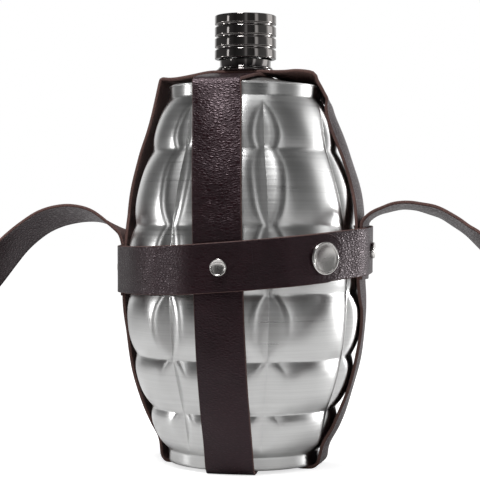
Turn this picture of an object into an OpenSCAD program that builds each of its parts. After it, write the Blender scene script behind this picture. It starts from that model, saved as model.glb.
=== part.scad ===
// Steel canteen in a leather harness: a barrel pressed into rows of cells, a ribbed screw cap,
// two crossing straps, a belt closed by a snap button, and a shoulder strap.
// Millimetres, +Z up, standing on z = 0 with the front strap towards -Y.

/* [Bottle] */
// Radius of the plain bands at the rim and at the base
band_r = 39.4; // [37:0.1:42]
// Height of the plain band at the rim
rim_band_h = 5.8; // [4:0.1:8]
// Height of the plain band at the base
base_band_h = 6.6; // [4:0.1:8]
// Radius at the bottom of the level grooves, half way up
belly_r = 58.4; // [56:0.1:61]
// Radius of the barrel curve that the level grooves follow
barrel_r = 203; // [195:1:230]
// Height of the pressed barrel between the two bands
barrel_h = 182.1; // [170:0.1:200]
// Shares of that height that the rows of cells take, from the base up
row_shares = [22.2, 27.2, 33.2, 34.1, 38.4, 27]; // [15:0.1:45]
// How far each row swells beyond its grooves, from the base up
row_swells = [2.3, 3.2, 3.3, 3.3, 3.4, 2.6]; // [1.8:0.1:4]
// Number of columns of cells
columns = 7; // [6:1:9]
// How far the bottle is turned in its harness, in degrees
bottle_turn = -1.4; // [-6:0.1:6]
// Thickness of the steel sheet
sheet = 0.8; // [0.6:0.1:1.1]
// Half angle of the V between two columns
groove_half_angle = 65; // [60:1:70]
// How much deeper the upright grooves are than the level ones
groove_extra = 0.5; // [0.3:0.1:0.9]
// How far the upright grooves stand out from the bands where they run out
groove_lift = 3.6; // [3:0.1:4.4]
// Width of the crease along the level grooves
crease_w = 1; // [0.8:0.1:1.4]
// Depth of that crease
crease_d = 0.15; // [0.1:0.05:0.3]
// Rise of the shoulder from the rim to the neck
shoulder_rise = 5.4; // [4:0.1:7]
// Thickness of the rolled seam on the rim
seam_t = 1; // [0.8:0.1:1.4]
// How far the rolled seam stands out from the band
seam_lip = 0.4; // [0.2:0.1:0.8]
// Height of the hollow under the base
punt_h = 9; // [8:0.5:14]

/* [Neck and cap] */
// Outer radius of the neck tube
neck_r = 9.2; // [8.4:0.1:9.8]
// Wall of the neck tube
neck_wall = 1.4; // [1:0.1:2]
// Radius of the welding flange of the neck, inside the shoulder
neck_flange_r = 14; // [12:0.5:18]
// Thickness of that flange
neck_flange_t = 1.2; // [0.8:0.1:2]
// Outer radius of the collar that holds the leather down
collar_r = 13.4; // [12:0.1:14.5]
// Height of the collar with its foot ring
collar_h = 6.2; // [4.5:0.1:9]
// Radius of the collar's foot ring
collar_foot_r = 15.5; // [14.8:0.1:17]
// Thickness of the foot ring
collar_foot_t = 1; // [0.7:0.1:1.6]
// Outer radius of the cap
cap_r = 16.15; // [15.4:0.05:18]
// Height of the cap
cap_h = 22.7; // [19:0.1:28]
// Wall of the cap behind its ribs
cap_wall = 1.2; // [0.8:0.1:1.8]
// Thickness of the cap's top
cap_top_t = 2; // [1.4:0.1:3]
// Number of ribs round the cap
rib_count = 4; // [3:1:6]
// Width of the groove between two ribs
rib_gap = 1.3; // [0.8:0.1:1.8]
// Depth of the groove between two ribs
rib_depth = 1; // [0.6:0.1:1.4]
// Chamfer on the edges of the ribs
rib_chamfer = 0.4; // [0.2:0.1:0.6]
// Thickness of the liner's top
liner_top_t = 1.2; // [0.8:0.1:2]
// How far the liner stays up inside the cap's lower edge
liner_inset = 1.5; // [0.5:0.1:3]
// Thickness of the gasket
gasket_t = 1.5; // [1:0.1:2.5]

/* [Leather] */
// Thickness of all the leather
leather_t = 1.7; // [1.4:0.1:2.2]
// Width of the two straps
strap_w = 25; // [22:0.5:28]
// Gap between a strap and the rim
rim_gap = 1.4; // [1:0.1:3]
// Gap between a strap and the base band
foot_gap = 0.8; // [0.6:0.1:3]
// The same gap at the right, where the strap hangs loose
foot_gap_right = 6; // [1:0.1:8]
// How far a strap bows out between belt and rim or base, as a share of its drop there
strap_bow = 0.21; // [0.2:0.01:0.25]
// The same share at the right below the belt
strap_bow_right = 0.3; // [0.25:0.01:0.32]
// Shift of the side strap towards the back above the belt
shift_side = 5; // [0:0.5:6]
// Sideways shift of the front strap at the rim
shift_rim = -5.5; // [-6:0.5:6]
// Sideways shift of the front strap at the belt
shift_belt = 1.5; // [-4:0.5:4]
// Sideways shift of the front strap at the base
shift_foot = 4; // [-6:0.5:6]
// Width of the flat that a strap stands on, inside the base band
rest_w = 6.5; // [5:0.5:9]
// Bend radius of a strap at the top
top_bend_r = 3; // [2.5:0.1:5]
// Bend radius of a strap at the base
foot_bend_r = 4.5; // [3:0.1:6]

/* [Belt] */
// Width of the belt
belt_w = 24.5; // [20:0.5:27]
// Height of the middle of the belt
belt_z = 107.3; // [101:0.1:110]
// How much higher the belt lies at the right side than in the middle
belt_rise_right = 5; // [-6:0.1:6]
// How much higher the belt lies at the back than in the middle
belt_rise_back = 2.8; // [-4:0.1:4]
// Where the belt's hidden end lies, in degrees from the front towards the right
belt_end_turn = 26; // [25:0.5:30]
// Where the flap leaves the belt
flap_root_turn = 16; // [15.5:0.5:17]
// Where the snap button sits
snap_turn = 47.5; // [46:0.5:55]
// Distance from the snap's middle to the flap's tip
flap_tip = 13.1; // [11:0.1:16]
// Radius of the snap's cap
snap_r = 8.1; // [7:0.1:8.6]
// Height of the snap's cap
snap_h = 1.9; // [1.5:0.1:2.6]
// Room between belt and flap that the snap takes up
snap_room = 2.7; // [2.6:0.1:3.4]
// Radius of the snap's inner discs
snap_disc_r = 5.2; // [4.8:0.1:6]
// Thickness of the snap's inner discs
snap_disc_t = 0.5; // [0.4:0.1:0.7]
// Radius of the snap's knob
snap_knob_r = 2.9; // [2.4:0.1:3.2]
// Radius of the rivets' caps
rivet_r = 4.2; // [3.6:0.1:5]
// Height of the rivets' caps
rivet_h = 1.6; // [1.2:0.1:2.2]
// Radius of the rivets' shanks
shank_r = 1.4; // [1.1:0.1:1.8]

/* [Shoulder strap] */
// Width of the shoulder strap
carry_w = 25; // [20:0.5:26]
// How far its ends reach out under the belt
carry_tail = 2.5; // [1:0.5:5]

/* [Hidden] */
$fn = 96;

// Clearances: welded fits, pressed sheet, leather on its neighbours, turning fits, punched holes
weld_gap = 0.05;
press_gap = 0.15;
lay_gap = 0.1;
turn_gap = 0.35;
punch_gap = 0.1;
// How far a cut runs past the faces that it opens
cut_over = 1;

steel = [0.75, 0.75, 0.76];
gunmetal = [0.2, 0.19, 0.19];
nickel = [0.8, 0.79, 0.77];
hide = [0.16, 0.09, 0.1];
black = [0.1, 0.1, 0.1];

// Levels of the bottle
rows = len(row_shares);
base_z = leather_t + weld_gap;
function sum_to(v, n) = n == 0 ? 0 : v[n - 1] + sum_to(v, n - 1);
row_heights = row_shares * barrel_h / sum_to(row_shares, rows);
function row_z(i) = base_z + base_band_h + sum_to(row_heights, i);
mid_z = (row_z(0) + row_z(rows)) / 2;
rim_z = row_z(rows) + rim_band_h;
seat_z = rim_z + shoulder_rise;

// Radius of the level grooves: a barrel curve between the two bands
function groove_r(z) = belly_r - barrel_r + sqrt(barrel_r * barrel_r - (z - mid_z) * (z - mid_z));
function edge(i) = [i == 0 || i == rows ? band_r : groove_r(row_z(i)), row_z(i)];

// Each row is a circle through its two edges, as high over the chord as the row swells
function row_r(i) =
    let (c = norm(edge(i + 1) - edge(i)), s = row_swells[i]) (c * c / 4 + s * s) / (2 * s);
function row_centre(i) =
    let (a = edge(i), b = edge(i + 1), d = (b - a) / norm(b - a))
    (a + b) / 2 - [d[1], -d[0]] * (row_r(i) - row_swells[i]);
function crown_r(i) = row_centre(i)[0] + row_r(i);
swell_r = max([for (i = [0 : rows - 1]) crown_r(i)]);

// Layers of leather round the belly, from the inside out
plate_t = 0.6 * snap_disc_t;
face_r = swell_r + plate_t + 6 * lay_gap;
strap_out_r = face_r + leather_t;
front_belt_r = strap_out_r + lay_gap;
side_belt_r = strap_out_r + leather_t + 2 * lay_gap;
rivet_plate_r = 0.7 * rivet_r;
shank_hole_r = shank_r + punch_gap;

// The belt and its flap are round at the snap: flat discs inside them are set back by their bulge
post_bulge = rivet_r * rivet_r / (2 * swell_r);
bare_belt_r = swell_r + plate_t + post_bulge + 3 * lay_gap;

// Levels at the neck: the front strap lies on the shoulder and the side strap on top of it
front_top_z = seat_z + lay_gap + leather_t / 2;
side_top_z = front_top_z + leather_t + lay_gap;
collar_z = side_top_z + leather_t / 2 + weld_gap;
cap_z = collar_z + collar_h + turn_gap;
cap_roof_z = cap_z + cap_h - cap_top_t;
gasket_z = cap_roof_z - liner_top_t - gasket_t;
liner_r = cap_r - rib_depth - cap_wall - weld_gap;
liner_bore_r = neck_r + turn_gap;

// Levels under the base, where the side strap crosses over the front strap
rivet_plate_h = 1;
front_cross_z = rivet_plate_h + 3 * lay_gap + leather_t / 2;
side_cross_z = front_cross_z + leather_t + lay_gap;

// Height of the belt's middle over a place in plan
function belt_mid_z(x, y) = belt_z + belt_rise_right * x / side_belt_r + belt_rise_back * y / front_belt_r;

// Direction at a turn from the front strap towards the right
function turned(a) = [sin(a), -cos(a)];

// Sheet metal
module row_shape(i, inset) {
    lower = row_z(i);
    intersection() {
        union() {
            translate(row_centre(i)) circle(r = row_r(i) - inset);
            translate([0, lower]) square([band_r / 2, row_heights[i]]);
        }
        translate([0, lower]) square([2 * belly_r, row_heights[i]]);
    }
}

// The outer barrel also gets a narrow crease along each level groove
module barrel(inset, overrun) {
    rotate_extrude()
        difference() {
            union() {
                for (i = [0 : rows - 1]) row_shape(i, inset);
                translate([0, base_z - overrun]) square([band_r - inset, base_band_h + overrun]);
                translate([0, row_z(rows)]) square([band_r - inset, rim_band_h + overrun]);
            }
            if (inset == 0)
                for (i = [1 : rows - 1])
                    translate([edge(i)[0] - crease_d, row_z(i) - crease_w / 2])
                        square([3 * crease_w, crease_w]);
        }
}

// One upright V: a ring that follows the barrel curve, and a straight run-out at either end
cut_h = 8;
run_overlap = 3;
module vee(depth) {
    w = cut_h * tan(groove_half_angle);
    polygon([[-depth, 0], [cut_h - depth, w], [cut_h - depth, -w]]);
}

module vee_run(from, to, depth) {
    way = to - from;
    translate([from[0], 0, from[1]])
        rotate([0, atan2(way[0], way[1]), 0])
            translate([0, 0, -run_overlap])
                linear_extrude(height = norm(way) + 2 * run_overlap) vee(depth);
}

module upright_groove(inset) {
    low = edge(1);
    high = edge(rows - 1);
    depth = groove_extra + inset / sin(groove_half_angle);
    start = asin((low[1] - mid_z) / barrel_r);
    end = asin((high[1] - mid_z) / barrel_r);
    translate([belly_r - barrel_r, 0, mid_z])
        rotate([90, 0, 0])
            rotate([0, 0, start])
                rotate_extrude(angle = end - start, $fn = 360)
                    translate([barrel_r, 0]) vee(depth);
    vee_run([band_r + groove_lift, row_z(0)], low, depth);
    vee_run(high, [band_r + groove_lift, row_z(rows)], depth);
}

module pressed(inset, overrun) {
    difference() {
        barrel(inset, overrun);
        for (k = [0 : columns - 1])
            rotate([0, 0, bottle_turn + (k + 0.5) * 360 / columns - 90]) upright_groove(inset);
    }
}

module bottle_body() {
    color(steel)
    difference() {
        pressed(0, 0);
        pressed(sheet, cut_over);
    }
}

module shoulder_plate() {
    color(steel)
    rotate_extrude()
        polygon([
            [neck_r + weld_gap, seat_z - sheet],
            [collar_foot_r, seat_z - sheet],
            [band_r - 2 * sheet, rim_z],
            [band_r + seam_lip, rim_z],
            [band_r + seam_lip, rim_z + seam_t],
            [band_r - sheet, rim_z + seam_t],
            [collar_foot_r, seat_z],
            [neck_r + weld_gap, seat_z]
        ]);
}

module base_plate() {
    out_r = band_r - sheet - press_gap;
    color(steel)
    rotate_extrude()
        polygon([
            [0, base_z + punt_h],
            [out_r - sheet, base_z + punt_h],
            [out_r - sheet, base_z],
            [out_r, base_z],
            [out_r, base_z + punt_h + sheet],
            [0, base_z + punt_h + sheet]
        ]);
}

module neck() {
    foot_z = seat_z - sheet - neck_flange_t;
    color(steel)
    difference() {
        union() {
            translate([0, 0, foot_z]) cylinder(r = neck_r, h = gasket_z - foot_z);
            translate([0, 0, foot_z]) cylinder(r = neck_flange_r, h = neck_flange_t);
        }
        translate([0, 0, foot_z - cut_over])
            cylinder(r = neck_r - neck_wall, h = gasket_z - foot_z + 2 * cut_over);
    }
}

module neck_collar() {
    color(gunmetal)
    translate([0, 0, collar_z])
        difference() {
            union() {
                cylinder(r = collar_r, h = collar_h);
                cylinder(r = collar_foot_r, h = collar_foot_t);
            }
            translate([0, 0, -cut_over]) cylinder(r = neck_r + weld_gap, h = collar_h + 2 * cut_over);
        }
}

// Cap
rib_pitch = (cap_h + rib_gap) / rib_count;
rib_h = rib_pitch - rib_gap;
module rib_shape() {
    polygon([
        [0, 0],
        [cap_r - rib_chamfer, 0],
        [cap_r, rib_chamfer],
        [cap_r, rib_h - rib_chamfer],
        [cap_r - rib_chamfer, rib_h],
        [0, rib_h]
    ]);
}

module cap_shell() {
    color(gunmetal)
    translate([0, 0, cap_z])
        rotate_extrude()
            difference() {
                union() {
                    square([cap_r - rib_depth, cap_h]);
                    for (i = [0 : rib_count - 1]) translate([0, i * rib_pitch]) rib_shape();
                }
                translate([0, -cut_over])
                    square([cap_r - rib_depth - cap_wall, cap_h - cap_top_t + cut_over]);
            }
}

module cap_liner() {
    h = cap_h - cap_top_t - liner_inset;
    color(black)
    translate([0, 0, cap_z + liner_inset])
        difference() {
            cylinder(r = liner_r, h = h);
            translate([0, 0, -cut_over]) cylinder(r = liner_bore_r, h = h - liner_top_t + cut_over);
        }
}

module cap_gasket() {
    color([0.7, 0.7, 0.68])
    translate([0, 0, gasket_z]) cylinder(r = neck_r, h = gasket_t);
}

// A leather ribbon swept through stations of [middle, across, half width, half thickness].
// Its thickness lies square to its way and to the across direction.
function unit(v) = v / norm(v);
function way_at(s, i, closed) =
    let (
        n = len(s),
        a = closed ? (i + n - 1) % n : max(i - 1, 0),
        b = closed ? (i + 1) % n : min(i + 1, n - 1)
    )
    unit(s[b][0] - s[a][0]);
function corners(s, i, closed) =
    let (
        t = way_at(s, i, closed),
        a = unit(s[i][1] - (s[i][1] * t) * t),
        w = a * s[i][2],
        h = cross(t, a) * s[i][3],
        c = s[i][0]
    )
    [c + w + h, c + w - h, c - w - h, c - w + h];
function side_faces(i, j) = [
    for (k = [0 : 3]) each
        let (l = (k + 1) % 4) [
            [4 * i + k, 4 * i + l, 4 * j + l],
            [4 * i + k, 4 * j + l, 4 * j + k]
        ]
];

module ribbon(stations, closed = false) {
    n = len(stations);
    last = 4 * (n - 1);
    ends = [[2, 1, 0], [3, 2, 0], [last, last + 1, last + 2], [last, last + 2, last + 3]];
    polyhedron(
        points = [for (i = [0 : n - 1]) each corners(stations, i, closed)],
        faces = concat(
            [for (i = [0 : n - (closed ? 1 : 2)]) each side_faces(i, (i + 1) % n)],
            closed ? [] : ends
        )
    );
}

// Corner q of a path, rounded with radius r between its neighbours p and s
bend_steps = 5;
function rounded(p, q, s, r) =
    let (
        u = unit(p - q),
        v = unit(s - q),
        half = acos(u * v) / 2,
        mid = q + unit(u + v) * r / sin(half),
        from = q + u * r / tan(half) - mid,
        to = q + v * r / tan(half) - mid,
        turn = acos(min(1, unit(from) * unit(to)))
    )
    [for (k = [0 : bend_steps])
        mid + (from * sin(turn * (1 - k / bend_steps)) + to * sin(turn * k / bend_steps)) / sin(turn)];

// Inner face of a strap beside the bottle: one bow up to the rim and one down to the base
function bow_drop(d, end_d, end_drop, bow) =
    let (share = d / end_d) end_drop * share * (1 - 4 * bow * (1 - share));
function strap_face(z, foot, bow) =
    let (
        up = z > mid_z,
        end_d = up ? rim_z - mid_z : mid_z - base_z,
        end_drop = face_r - band_r - (up ? rim_gap : foot)
    )
    face_r - bow_drop(abs(z - mid_z), end_d, end_drop, clear_bow(up, end_d, end_drop, up ? strap_bow : bow));

// The bow of a strap, or the least that clears the crest of each row on its way, if that is more
function crest(i) = let (d = unit(edge(i + 1) - edge(i))) row_centre(i) + row_r(i) * [d[1], -d[0]];
function least_bow(p, end_d, end_drop) =
    let (share = abs(p[1] - mid_z) / end_d)
    (1 - (face_r - lay_gap - p[0]) / (end_drop * share)) / (4 * (1 - share));
function clear_bow(up, end_d, end_drop, bow) = max(concat([bow],
    [for (i = [0 : rows - 1]) let (p = crest(i)) if ((p[1] > mid_z) == up) least_bow(p, end_d, end_drop)]));

// Half a strap's middle line from the neck to the crossing under the base, as [out, z]
strap_steps = 12;
function strap_half(top_z, fold_z, cross_z, foot, bow) =
    let (
        t = leather_t / 2,
        out = function (z) strap_face(z, foot, bow) + t,
        fold = [out(fold_z), fold_z],
        heel = [out(t), t],
        seat = [collar_foot_r, top_z],
        below_fold = fold_z - 4 * top_bend_r,
        above_heel = 4 * foot_bend_r,
        under = [band_r - rest_w, t]
    )
    concat(
        [[0, top_z], [neck_r, top_z], seat],
        rounded(seat, fold, [out(below_fold), below_fold], top_bend_r),
        [for (k = [0 : strap_steps])
            let (z = below_fold + (above_heel - below_fold) * k / strap_steps) [out(z), z]],
        rounded([out(above_heel), above_heel], heel, under, foot_bend_r),
        [under, [strap_w / 2 + foot_bend_r, cross_z], [2 * shank_r, cross_z]]
    );

// Level of the fold where a strap lies close over the seam of the rim
close_fold_z = rim_z + seam_t + 2 * lay_gap + leather_t / 2;

// Sideways shift of the front strap: a curve through its three given places, fading to the axis
function shift_at(z) =
    let (f = base_z, b = belt_z, r = rim_z)
    shift_foot * (z - b) * (z - r) / ((f - b) * (f - r))
    + shift_belt * (z - f) * (z - r) / ((b - f) * (b - r))
    + shift_rim * (z - f) * (z - b) / ((r - f) * (r - b));
function fade(u) = max(0, min(1, (u - neck_r) / (band_r - neck_r)));

// Shift of the side strap towards the back at a place [out, z] of its middle line
function side_y(p) = shift_side * ease((p[1] - belt_z - belt_w / 2) / belt_w) * fade(p[0]);

function reversed(v) = [for (i = [len(v) - 1 : -1 : 0]) v[i]];

module neck_hole() {
    translate([0, 0, seat_z]) cylinder(r = neck_r + 2 * punch_gap, h = 6 * leather_t);
}

module base_hole() {
    translate([0, 0, -cut_over]) cylinder(r = shank_hole_r, h = punt_h);
}

module front_back_strap() {
    half = strap_half(front_top_z, close_fold_z, front_cross_z, foot_gap, strap_bow);
    w = strap_w / 2;
    t = leather_t / 2;
    front = [for (p = half) [[shift_at(p[1]) * fade(p[0]), -p[0], p[1]], [1, 0, 0], w, t]];
    back = [for (p = reversed(half)) if (p[0] > 0) [[0, p[0], p[1]], [1, 0, 0], w, t]];
    color(hide)
    difference() {
        ribbon(concat(front, back), closed = true);
        neck_hole();
        base_hole();
        at_front() rivet_pocket();
        at_back() rivet_pocket();
    }
}

module side_strap() {
    left = strap_half(side_top_z, close_fold_z, side_cross_z, foot_gap, strap_bow);
    right = strap_half(side_top_z, side_top_z, side_cross_z, foot_gap_right, strap_bow_right);
    w = strap_w / 2;
    t = leather_t / 2;
    left_side = [for (p = left) [[-p[0], side_y(p), p[1]], [0, -1, 0], w, t]];
    right_side = [for (p = reversed(right)) if (p[0] > 0) [[p[0], side_y(p), p[1]], [0, -1, 0], w, t]];
    color(hide)
    difference() {
        ribbon(concat(left_side, right_side), closed = true);
        neck_hole();
        base_hole();
        at_left() rivet_pocket();
        at_right() rivet_pocket();
    }
}

// Rivets stand on the strap's inner face and look outwards along local +Z
module at_front() {
    translate([shift_belt, 0, belt_mid_z(shift_belt, -front_belt_r)]) rotate([90, 0, 0]) children();
}

module at_back() {
    translate([0, 0, belt_mid_z(0, front_belt_r)]) rotate([90, 0, 180]) children();
}

module at_left() {
    translate([0, 0, belt_mid_z(-side_belt_r, 0)]) rotate([90, 0, -90]) children();
}

module at_right() {
    translate([0, 0, belt_mid_z(side_belt_r, 0)]) rotate([90, 0, 90]) children();
}

module rivet_hole() {
    translate([0, 0, band_r]) cylinder(r = shank_hole_r, h = band_r);
}

// The plates of the rivets lie just off the belly, in pockets of the straps
plate_in_r = swell_r + 2 * lay_gap;
module rivet_pocket() {
    rivet_hole();
    translate([0, 0, band_r])
        cylinder(r = rivet_plate_r + punch_gap, h = plate_in_r + plate_t + lay_gap - band_r);
}

module rivet_post(out_r) {
    translate([0, 0, plate_in_r]) {
        cylinder(r = rivet_plate_r, h = plate_t);
        cylinder(r = shank_r, h = out_r + rivet_h / 2 - plate_in_r);
    }
}

// A low dome: the part of a sphere that stands h high on a circle of radius r
module dome(r, h) {
    ball_r = (r * r + h * h) / (2 * h);
    rotate_extrude()
        intersection() {
            translate([0, h - ball_r]) circle(r = ball_r);
            square([r, h]);
        }
}

module rivet_cap(out_r) {
    translate([0, 0, out_r + weld_gap])
        difference() {
            dome(rivet_r, rivet_h);
            translate([0, 0, -cut_over]) cylinder(r = shank_r + weld_gap, h = rivet_h / 2 + cut_over);
        }
}

module belt_rivet_caps() {
    color(nickel) {
        at_front() rivet_cap(front_belt_r + leather_t);
        at_back() rivet_cap(front_belt_r + leather_t);
        at_left() rivet_cap(side_belt_r + leather_t);
        at_right() rivet_cap(side_belt_r + leather_t);
    }
}

module belt_rivet_posts() {
    color(nickel) {
        at_front() rivet_post(front_belt_r + leather_t);
        at_back() rivet_post(front_belt_r + leather_t);
        at_left() rivet_post(side_belt_r + leather_t);
        at_right() rivet_post(side_belt_r + leather_t);
    }
}

module base_rivet_post() {
    head_z = side_cross_z + leather_t / 2 + weld_gap;
    foot_z = front_cross_z - leather_t / 2 - weld_gap - rivet_plate_h / 2;
    color(nickel) {
        translate([0, 0, head_z]) dome(rivet_r, rivet_h / 2);
        translate([0, 0, foot_z]) cylinder(r = shank_r, h = head_z - foot_z + rivet_h / 4);
    }
}

module base_rivet_cap() {
    color(nickel)
    translate([0, 0, front_cross_z - leather_t / 2 - weld_gap])
        mirror([0, 0, 1])
            difference() {
                dome(rivet_r, rivet_plate_h);
                translate([0, 0, -cut_over])
                    cylinder(r = shank_r + weld_gap, h = rivet_plate_h / 2 + cut_over + weld_gap);
            }
}

// Inner line of the belt in plan, by turn from the front: flat over a strap, then straight to
// where it meets the round belly, then round with the belly
front_flat_w = strap_w / 2 + abs(shift_belt) + 12 * lay_gap;
side_flat_w = max(strap_w, carry_w) / 2 + 12 * lay_gap;
function over_strap(d, flat_r, flat_w) =
    let (
        edge_turn = atan(flat_w / flat_r),
        meet_turn = edge_turn + acos(bare_belt_r * cos(edge_turn) / flat_r)
    )
    d < edge_turn ? flat_r / cos(d) : d < meet_turn ? bare_belt_r / cos(meet_turn - d) : bare_belt_r;
function turn_from(a, strap) = abs(((a - strap) % 360 + 540) % 360 - 180);
function belt_r(a) = max(
    over_strap(min(turn_from(a, 0), turn_from(a, 180)), front_belt_r, front_flat_w),
    over_strap(min(turn_from(a, 90), turn_from(a, 270)), side_belt_r, side_flat_w)
);

// A station of a belt whose inner face stands lift off the belt's own inner line
function belt_station(a, lift, half_w) =
    let (p = turned(a) * (belt_r(a) + lift + leather_t / 2))
    [[p[0], p[1], belt_mid_z(p[0], p[1])], [0, 0, 1], half_w, leather_t / 2];

belt_step = 3;
module belt() {
    first = belt_end_turn;
    last = 360 + flap_root_turn - hinge_gap_turn;
    steps = ceil((last - first) / belt_step);
    turns = [for (i = [0 : steps - 1]) first + (last - first) * i / steps];
    color(hide)
    difference() {
        ribbon([for (a = concat(turns, [last - hinge_gap_turn, last])) belt_station(a, 0, belt_w / 2)]);
        at_front() rivet_hole();
        at_back() rivet_hole();
        at_left() rivet_hole();
        at_right() rivet_hole();
        at_snap() translate([0, 0, band_r]) cylinder(r = shank_hole_r, h = band_r);
    }
}

// The flap climbs from the belt over its hidden end, and keeps room for the snap
hinge_gap_turn = 0.3;
flap_climb_turn = 17;
flap_lift = leather_t + snap_room;
flap_in_r = bare_belt_r + flap_lift;
socket_bulge = snap_disc_r * snap_disc_r / (2 * flap_in_r);
tip_turn = snap_turn + flap_tip / flap_in_r * 180 / PI;
function ease(x) = let (c = max(0, min(1, x))) c * c * (3 - 2 * c);
function lift_at(a) = flap_lift * ease((a - flap_root_turn) / flap_climb_turn);

// Half the flap's width at a turn, with a round tip
function flap_half_w(a) =
    let (to_tip = (tip_turn - a) * PI / 180 * flap_in_r, r = belt_w / 2)
    to_tip >= r ? r : sqrt(max(0, r * r - (r - to_tip) * (r - to_tip)));

module belt_flap() {
    round_turn = belt_w / 2 / flap_in_r * 180 / PI;
    straight = [for (a = [flap_root_turn : 2 : tip_turn - round_turn]) a];
    tip = [for (k = [9 : -1 : 1]) tip_turn - round_turn * (1 - cos(10 * k))];
    color(hide)
    difference() {
        ribbon([for (a = concat(straight, tip)) belt_station(a, lift_at(a), flap_half_w(a))]);
        at_snap() translate([0, 0, band_r]) cylinder(r = shank_hole_r, h = band_r);
    }
}

// The snap looks outwards along local +Z from the bottle's axis
module at_snap() {
    p = turned(snap_turn) * flap_in_r;
    translate([0, 0, belt_mid_z(p[0], p[1])]) rotate([90, 0, snap_turn]) children();
}

module snap_cap() {
    out_r = flap_in_r + leather_t + weld_gap;
    color(nickel)
    at_snap() {
        translate([0, 0, out_r]) dome(snap_r, snap_h);
        translate([0, 0, flap_in_r - snap_disc_t])
            cylinder(r = shank_r, h = out_r - flap_in_r + snap_disc_t + snap_h / 4);
    }
}

module snap_socket() {
    h = snap_room - snap_disc_t - 2 * lay_gap - socket_bulge;
    color(nickel)
    at_snap()
        translate([0, 0, flap_in_r - weld_gap - socket_bulge - h])
            difference() {
                cylinder(r = snap_disc_r, h = h);
                translate([0, 0, -cut_over])
                    cylinder(r = snap_knob_r + turn_gap, h = h - snap_disc_t + cut_over);
                cylinder(r = shank_r + weld_gap, h = h + cut_over);
            }
}

module snap_stud() {
    out_r = bare_belt_r + leather_t + weld_gap;
    knob_h = snap_room - 2 * snap_disc_t - 3 * lay_gap - weld_gap;
    color(nickel)
    at_snap()
        translate([0, 0, out_r])
            difference() {
                union() {
                    cylinder(r = snap_disc_r, h = snap_disc_t);
                    cylinder(r = snap_knob_r, h = knob_h);
                }
                translate([0, 0, -cut_over]) cylinder(r = shank_r + weld_gap, h = knob_h / 2 + cut_over);
            }
}

module snap_post() {
    knob_h = snap_room - 2 * snap_disc_t - 3 * lay_gap - weld_gap;
    plate_z = bare_belt_r - post_bulge - lay_gap - plate_t;
    color(nickel)
    at_snap()
        translate([0, 0, plate_z]) {
            cylinder(r = rivet_r, h = plate_t);
            cylinder(r = shank_r, h = bare_belt_r + leather_t + knob_h / 2 - plate_z);
        }
}

// Route of the shoulder strap from its left end to its right one: [x, y, z, lift of its front
// edge in degrees]. It stands on its edge where it lies in front of the bottle.
carry_route = [
    [-65.9, 0, 118.8, 4], [-70, -0.5, 122.7, 8], [-75, -0.5, 126.2, 11], [-81, -1, 129.2, 14],
    [-88, -2, 130.7, 18], [-95, -3, 130.7, 21], [-102.5, -4.5, 129.2, 22],
    [-109.5, -6.5, 126.2, 23], [-115.5, -9, 121.7, 25], [-120.5, -12, 116.7, 29],
    [-125, -16, 110.7, 36], [-129, -21, 104.2, 44], [-134, -28, 95.7, 52], [-139, -37, 85.7, 59],
    [-144, -48, 74.7, 65], [-148.5, -61, 62.2, 71], [-152.5, -76, 49.6, 77],
    [-155, -93, 36.9, 83], [-156, -111, 26.2, 88], [-155, -130, 18.1, 90], [-151, -149, 14, 90],
    [-143, -168, 12.7, 90], [-130, -187, 12.7, 90], [-112, -204, 12.7, 90], [-88, -218, 12.7, 90],
    [-60, -227, 12.7, 90], [-30, -232, 12.7, 90], [0, -234, 12.7, 90], [30, -232, 12.7, 90],
    [60, -227, 12.7, 90], [88, -218, 12.7, 90], [112, -204, 12.7, 90], [130, -187, 12.7, 90],
    [143, -168, 12.7, 90], [151, -149, 14, 90], [155, -130, 18.1, 90], [157, -111, 26.7, 87],
    [156.5, -93, 38.4, 80], [154.5, -76, 52.7, 72], [151, -61, 66.7, 63], [147, -48, 79.7, 54],
    [142, -37, 91.7, 45], [137, -28, 101.7, 36], [131, -21, 109.7, 28], [125.5, -16, 115.7, 22],
    [120, -12, 120.2, 17], [114.5, -9, 124.7, 15], [109, -7, 128.2, 14], [102.5, -5.5, 131.7, 12],
    [95.5, -4, 133.7, 10], [88.5, -3, 135.2, 8], [81.5, -2, 135.2, 6], [75.5, -1, 133.7, 4],
    [70.6, -0.5, 131.7, 3], [66.8, 0, 129.2, 1], [64.6, 0, 126.7, 0]
];

// The two ends lie flat between the belt and the side strap
carry_mid_r = strap_out_r + lay_gap + leather_t / 2;
function carry_end(side) =
    let (z = belt_mid_z(side * side_belt_r, 0), low = z - belt_w / 2 - carry_tail, top = z + belt_w / 2)
    [for (h = [low, (low + top) / 2, top]) [side * carry_mid_r, 0, h, 0]];

module shoulder_strap() {
    route = concat(carry_end(-1), carry_route, reversed(carry_end(1)));
    color(hide)
    difference() {
        ribbon([for (p = route)
            [[p[0], p[1], p[2]], [0, -cos(p[3]), sin(p[3])], carry_w / 2, leather_t / 2]]);
        at_left() rivet_hole();
        at_right() rivet_hole();
    }
}

bottle_body();
shoulder_plate();
base_plate();
neck();
neck_collar();
cap_shell();
cap_liner();
cap_gasket();
front_back_strap();
side_strap();
base_rivet_cap();
base_rivet_post();
belt();
belt_flap();
belt_rivet_caps();
belt_rivet_posts();
snap_cap();
snap_socket();
snap_stud();
snap_post();
shoulder_strap();
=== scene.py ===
"""A steel canteen in its leather harness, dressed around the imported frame.

Sizes in the functions are millimetres, as in the part's source; meshes are metres.
"""

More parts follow.
